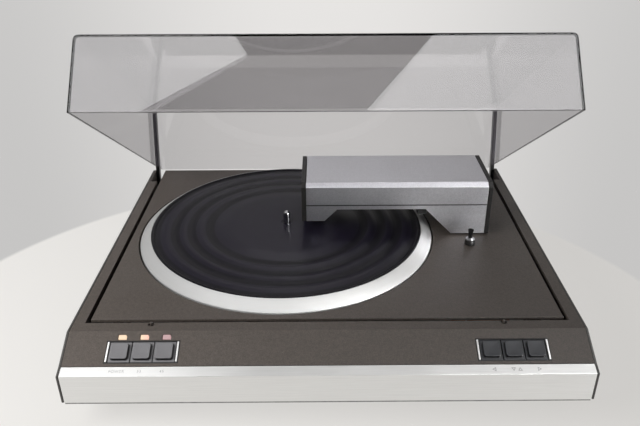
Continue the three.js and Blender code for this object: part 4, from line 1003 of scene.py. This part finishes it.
class TURNTABLE_OT_sockets(Operator):
    """Rear sockets: inlet, two output sockets on their plate and the knurled ground knob"""
    bl_idname = "turntable.sockets"
    bl_label = "Rear sockets"

    def execute(self, context):
        dress("mains_inlet", "black_plastic", 0.0004)
        face = (ORIGIN[1] + DECK_DEPTH) / MM
        low, high = box_mm("output_sockets")
        x, _, z = middle("output_sockets")
        plate = slab(x, 0, (high[0] - low[0]) / 2, (high[2] - low[2]) / 2, face, face + 2, radius=2, edge=0.4)
        formed("socket_plate", [lying(plate, z)], "black_plastic", "plinth", angle=40,
               even=True)
        barrel = fillet([[0, -2], [4.2, -2], [4.2, 2.1], [6, 2.1], [6, 4], [4.2, 4], [4.2, 9], [3.4, 9],
                         [3.4, 4], [1.6, 4], [1.6, 2.5], [0, 2.5]],
                        [0, 0.1, 0.1, 0.2, 0.3, 0.2, 0.3, 0.2, 0.1, 0.1, 0.1, 0], 3) + [0, face]
        formed("output_barrels", [lying(revolve(barrel, (c, 0), 48), z) for c in (x - 9, x + 9)], "brass",
               "plinth", ("output_sockets",))
        x, _, z = middle("ground_terminal")
        knob = fillet([[0, -4], [2, -4], [2, 0], [4.3, 0], [4.3, 9], [0, 9]],
                      [0, 0.2, 0.1, 0.5, 0.8, 0], 4) + [0, face]
        formed("ground_knob", [lying(revolve(knob, (x, 0), 144, flutes=24, depth=0.15), z)], "brass",
               "plinth", ("ground_terminal",), angle=50)
        return {"FINISHED"}


class TURNTABLE_OT_works(Operator):
    """Works inside the plinth: transformer, boards, springs, motor stator and bearing"""
    bl_idname = "turntable.works"
    bl_label = "Inner works"

    def execute(self, context):
        dress("transformer", "copper_wire", 0.0006)
        dress("main_board", "circuit_board", 0.0002)
        dress("control_board", "circuit_board", 0.0002)
        refine("motor_stator", "wound_stator", "copper_wire", edge=0.0005)
        refine("bearing_housing", "turned_bearing", "brass", edge=0.0005)
        for place in ("front_left", "front_right", "rear_left", "rear_right"):
            coil = refine("spring_" + place, "coil_" + place, "steel", angle=75)
            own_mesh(coil)
        return {"FINISHED"}


class TURNTABLE_OT_labels(Operator):
    """Small plain labels on the fascia's bevel: the power switch, two speeds and the arm's directions"""
    bl_idname = "turntable.labels"
    bl_label = "Labels"

    def execute(self, context):
        x = middle("button_bezel_left")[0]
        for word, shift in (("POWER", -PITCH), ("33", 0), ("45", PITCH)):
            self.word(word, x + shift)
        up = np.array([[-1.9, -1.5], [1.9, -1.5], [0.0, 1.7]])
        down, right, left = up * [1, -1], up[:, ::-1], up[:, ::-1] * [-1, 1]
        for name, node, marks in (("back", "button_arm_back", [(left, 0)]),
                                  ("lift", "button_lift", [(down, -2.7), (up, 2.7)]),
                                  ("in", "button_arm_in", [(right, 0)])):
            grids = [on_bevel(self.outline(mark) + [middle(node)[0] + shift, 0, 0]) for mark, shift in marks]
            formed("mark_" + name, grids, "label_ink", "plinth", angle=30, closed=True)
        return {"FINISHED"}

    def outline(self, mark):
        """The outline of a flat shape as a closed ring: the shape and its copy at half size about its middle,
        each at two levels."""
        inner = (mark + mark.mean(0)) / 2
        return stack([mark, mark, inner, inner], [0, 2 * INK, 2 * INK, 0], closed_ends=False)

    def word(self, word, x):
        """A word in the plain built-in face, as a thin mesh on the bevel, centred at x."""
        curve = bpy.data.curves.new("label_" + word.lower(), "FONT")
        curve.body = word
        curve.align_x = curve.align_y = "CENTER"
        curve.size, curve.extrude, curve.space_character = 3.3, INK, 1.25
        source = shown(curve.name, curve)
        bpy.context.view_layer.update()
        mesh = bpy.data.meshes.new_from_object(source)
        bpy.data.objects.remove(source)
        flat = np.empty(len(mesh.vertices) * 3)
        mesh.vertices.foreach_get("co", flat)
        mesh.vertices.foreach_set("co", on_bevel(flat.reshape(-1, 3) + [x, 0, INK]).ravel())
        mesh.update()
        piece("word_" + word.lower(), mesh, "label_ink", "plinth")


class TURNTABLE_OT_stage(Operator):
    """Pale round table top, backdrop, camera, lamps and world"""
    bl_idname = "turntable.stage"
    bl_label = "Stage"

    def execute(self, context):
        light = context.scene.turntable_light
        self.floor()
        self.camera()
        self.world(light.world)
        # These four shine on gloss and glass only, and the last one on matt surfaces only
        lamps = [self.lamp(*row) for row in (
            ("Left softbox", light.left, (1.1, 0.8), (-0.92, -0.64, 1.8), (0, 0, 29)),
            ("Right softbox", light.right, (1.1, 1.2), (0.8, -0.98, 1.8), (0, 0, -36)),
            ("Back softbox", light.back, (0.8, 0.9), (-0.1, 1.4, 1.75), (-40.3, 0, 3.6)),
            ("Right card", light.card, (0.4, 0.4), (0.75, -0.5, 0.3), (75, 0, 51)))]
        for lamp in lamps:
            lamp.visible_diffuse = False
        lamps[-1].data.spread = math.radians(45)
        fill = self.lamp("Left fill", light.fill, (0.6, 0.6), (-0.7, -0.55, 0.62), (0, 0, 0))
        fill.visible_glossy = fill.visible_transmission = False
        context.scene.view_settings.view_transform = "Standard"
        return {"FINISHED"}

    def floor(self):
        """A disc of rings out to 8 metres: the glowing table top, whose glow is painted light that lifts the
        shadows on it and is painted dimmer to the right as painted shade, and beyond it the backdrop, which
        is brightest straight ahead. In gloss and on matt surfaces its part near the camera is the dim room."""
        f, table_radius = finishes(), sizes().table_radius
        radii = np.array([0.0, 0.3, 0.8, 2.0, 8.0])
        mesh = mesh_of("Floor", [revolve(np.stack([radii, 0 * radii], -1), (0, 0), 96)])
        tidy(mesh, 30)

        def build(t, shader, out):
            radius = t.group("Rings", Centre=TABLE_CENTRE)["Radius"]
            inside = t.fit(radius, table_radius - 0.003, table_radius + 0.006, 1.0, 0.0, smooth=True)
            grain = t.group("Grain", Scale=60.0, Blotch=0.5, Contrast=0.4)["Mask"]
            table = t.mix(grain, *pair(f.table, 0.99, 1.0))
            x, y, _ = t.parts(t.place())
            aside = t.math("DIVIDE", t.math("ABSOLUTE", x), t.math("ADD", y, 0.65))
            wall = t.mix(t.fit(aside, 0.5, 0.03, smooth=True), f.wall, f.wall_light)
            path = t.node("ShaderNodeLightPath").outputs
            mirrored = t.math("MAXIMUM", path["Is Glossy Ray"], path["Is Diffuse Ray"])
            wall = t.mix(t.math("MULTIPLY", mirrored, t.fit(y, -0.45, -0.6)), wall, f.room)
            # Painted light: the table top's glow lifts the shadows on it, and it is painted dimmer to the
            # right as painted shade
            glow = t.mix(t.fit(x, -0.4, 0.5), *pair(f.table_painted_light, 1.0, 0.8))
            t.link(shader, Base_Color=t.mix(inside, (0, 0, 0), table),
                   Emission_Color=t.mix(inside, wall, glow))
        mesh.materials.append(new_material("Table top and backdrop", {
            "Roughness": 0.6, "Specular IOR Level": 0.2, "Emission Strength": 1.0}, build))
        shown("Floor", mesh)

    def camera(self):
        data = bpy.data.cameras.new("Camera")
        data.sensor_width = 36.0
        data.lens = 38.202
        data.shift_x = -0.00856
        data.clip_end = 40
        made = shown("Camera", data)
        made.location = (-0.00412, -0.64538, 0.43641)
        made.rotation_euler = [math.radians(a) for a in (62.5592, 0.1641, -0.3798)]
        bpy.context.scene.camera = made

    def world(self, strength):
        """Even light, and what gloss and glass mirror: a dim room behind the camera, and ahead the wall,
        which brightens with its height and dims to the sides."""
        world = bpy.data.worlds.new("Studio")
        bpy.context.scene.world = world
        world.use_nodes = True
        world.node_tree.nodes.clear()
        t = Tree(world.node_tree)
        lit = t.node("ShaderNodeBackground", {"Color": (1, 1, 1), "Strength": strength})
        x, y, z = t.parts(t.node("ShaderNodeTexCoord").outputs["Generated"])
        ahead = t.fit(y, -0.35, 0.25, smooth=True)
        raised = t.math("MULTIPLY", t.fit(z, 0.2, 0.46, 0.9, 1.35), t.fit(z, 0.75, 0.95, 1.0, 0.5))
        raised = t.math("MULTIPLY", raised, t.fit(t.math("ABSOLUTE", x), 0.25, 0.7, 1.0, 0.65))
        bright = t.math("ADD", t.math("MULTIPLY", ahead, t.math("SUBTRACT", raised, 1.0)), 1.0)
        seen = t.node("ShaderNodeBackground", {"Color": t.mix(ahead, finishes().room, finishes().wall),
                                               "Strength": bright})
        path = t.node("ShaderNodeLightPath").outputs
        share = t.math("MAXIMUM", t.math("MAXIMUM", path["Is Camera Ray"], path["Is Glossy Ray"]),
                       path["Is Transmission Ray"])
        mixed = t.node("ShaderNodeMixShader", {0: share, 1: lit.outputs[0], 2: seen.outputs[0]})
        t.node("ShaderNodeOutputWorld", {"Surface": mixed.outputs[0]})

    def lamp(self, name, energy, size, place, turn):
        """A flat lamp that faces down before it is turned, by degrees."""
        data = bpy.data.lights.new(name, "AREA")
        data.energy = energy
        data.shape = "RECTANGLE"
        data.size, data.size_y = size
        made = shown(name, data)
        made.location = place
        made.rotation_euler = [math.radians(a) for a in turn]
        return made


OPERATORS = (TURNTABLE_OT_plinth, TURNTABLE_OT_feet, TURNTABLE_OT_deck, TURNTABLE_OT_platter,
             TURNTABLE_OT_controls, TURNTABLE_OT_bridge, TURNTABLE_OT_brush, TURNTABLE_OT_arm,
             TURNTABLE_OT_cover, TURNTABLE_OT_sockets, TURNTABLE_OT_works, TURNTABLE_OT_labels,
             TURNTABLE_OT_stage)


class TURNTABLE_PT_panel(Panel):
    """Lists the turntable's operators"""
    bl_idname = "TURNTABLE_PT_panel"
    bl_label = "Turntable"
    bl_space_type = "VIEW_3D"
    bl_region_type = "UI"
    bl_category = "Turntable"

    def draw(self, context):
        for operator in OPERATORS:
            self.layout.operator(operator.bl_idname)


CLASSES = (TurntableSizes, TurntableFinish, TurntableLight, *OPERATORS, TURNTABLE_PT_panel)


def register():
    for cls in CLASSES:
        bpy.utils.register_class(cls)
    bpy.types.Scene.turntable_sizes = PointerProperty(type=TurntableSizes)
    bpy.types.Scene.turntable_finish = PointerProperty(type=TurntableFinish)
    bpy.types.Scene.turntable_light = PointerProperty(type=TurntableLight)


def unregister():
    del bpy.types.Scene.turntable_light
    del bpy.types.Scene.turntable_finish
    del bpy.types.Scene.turntable_sizes
    for cls in reversed(CLASSES):
        bpy.utils.unregister_class(cls)


def main():
    register()
    for operator in OPERATORS:
        group, name = operator.bl_idname.split(".")
        getattr(getattr(bpy.ops, group), name)()


if __name__ == "__main__":
    main()
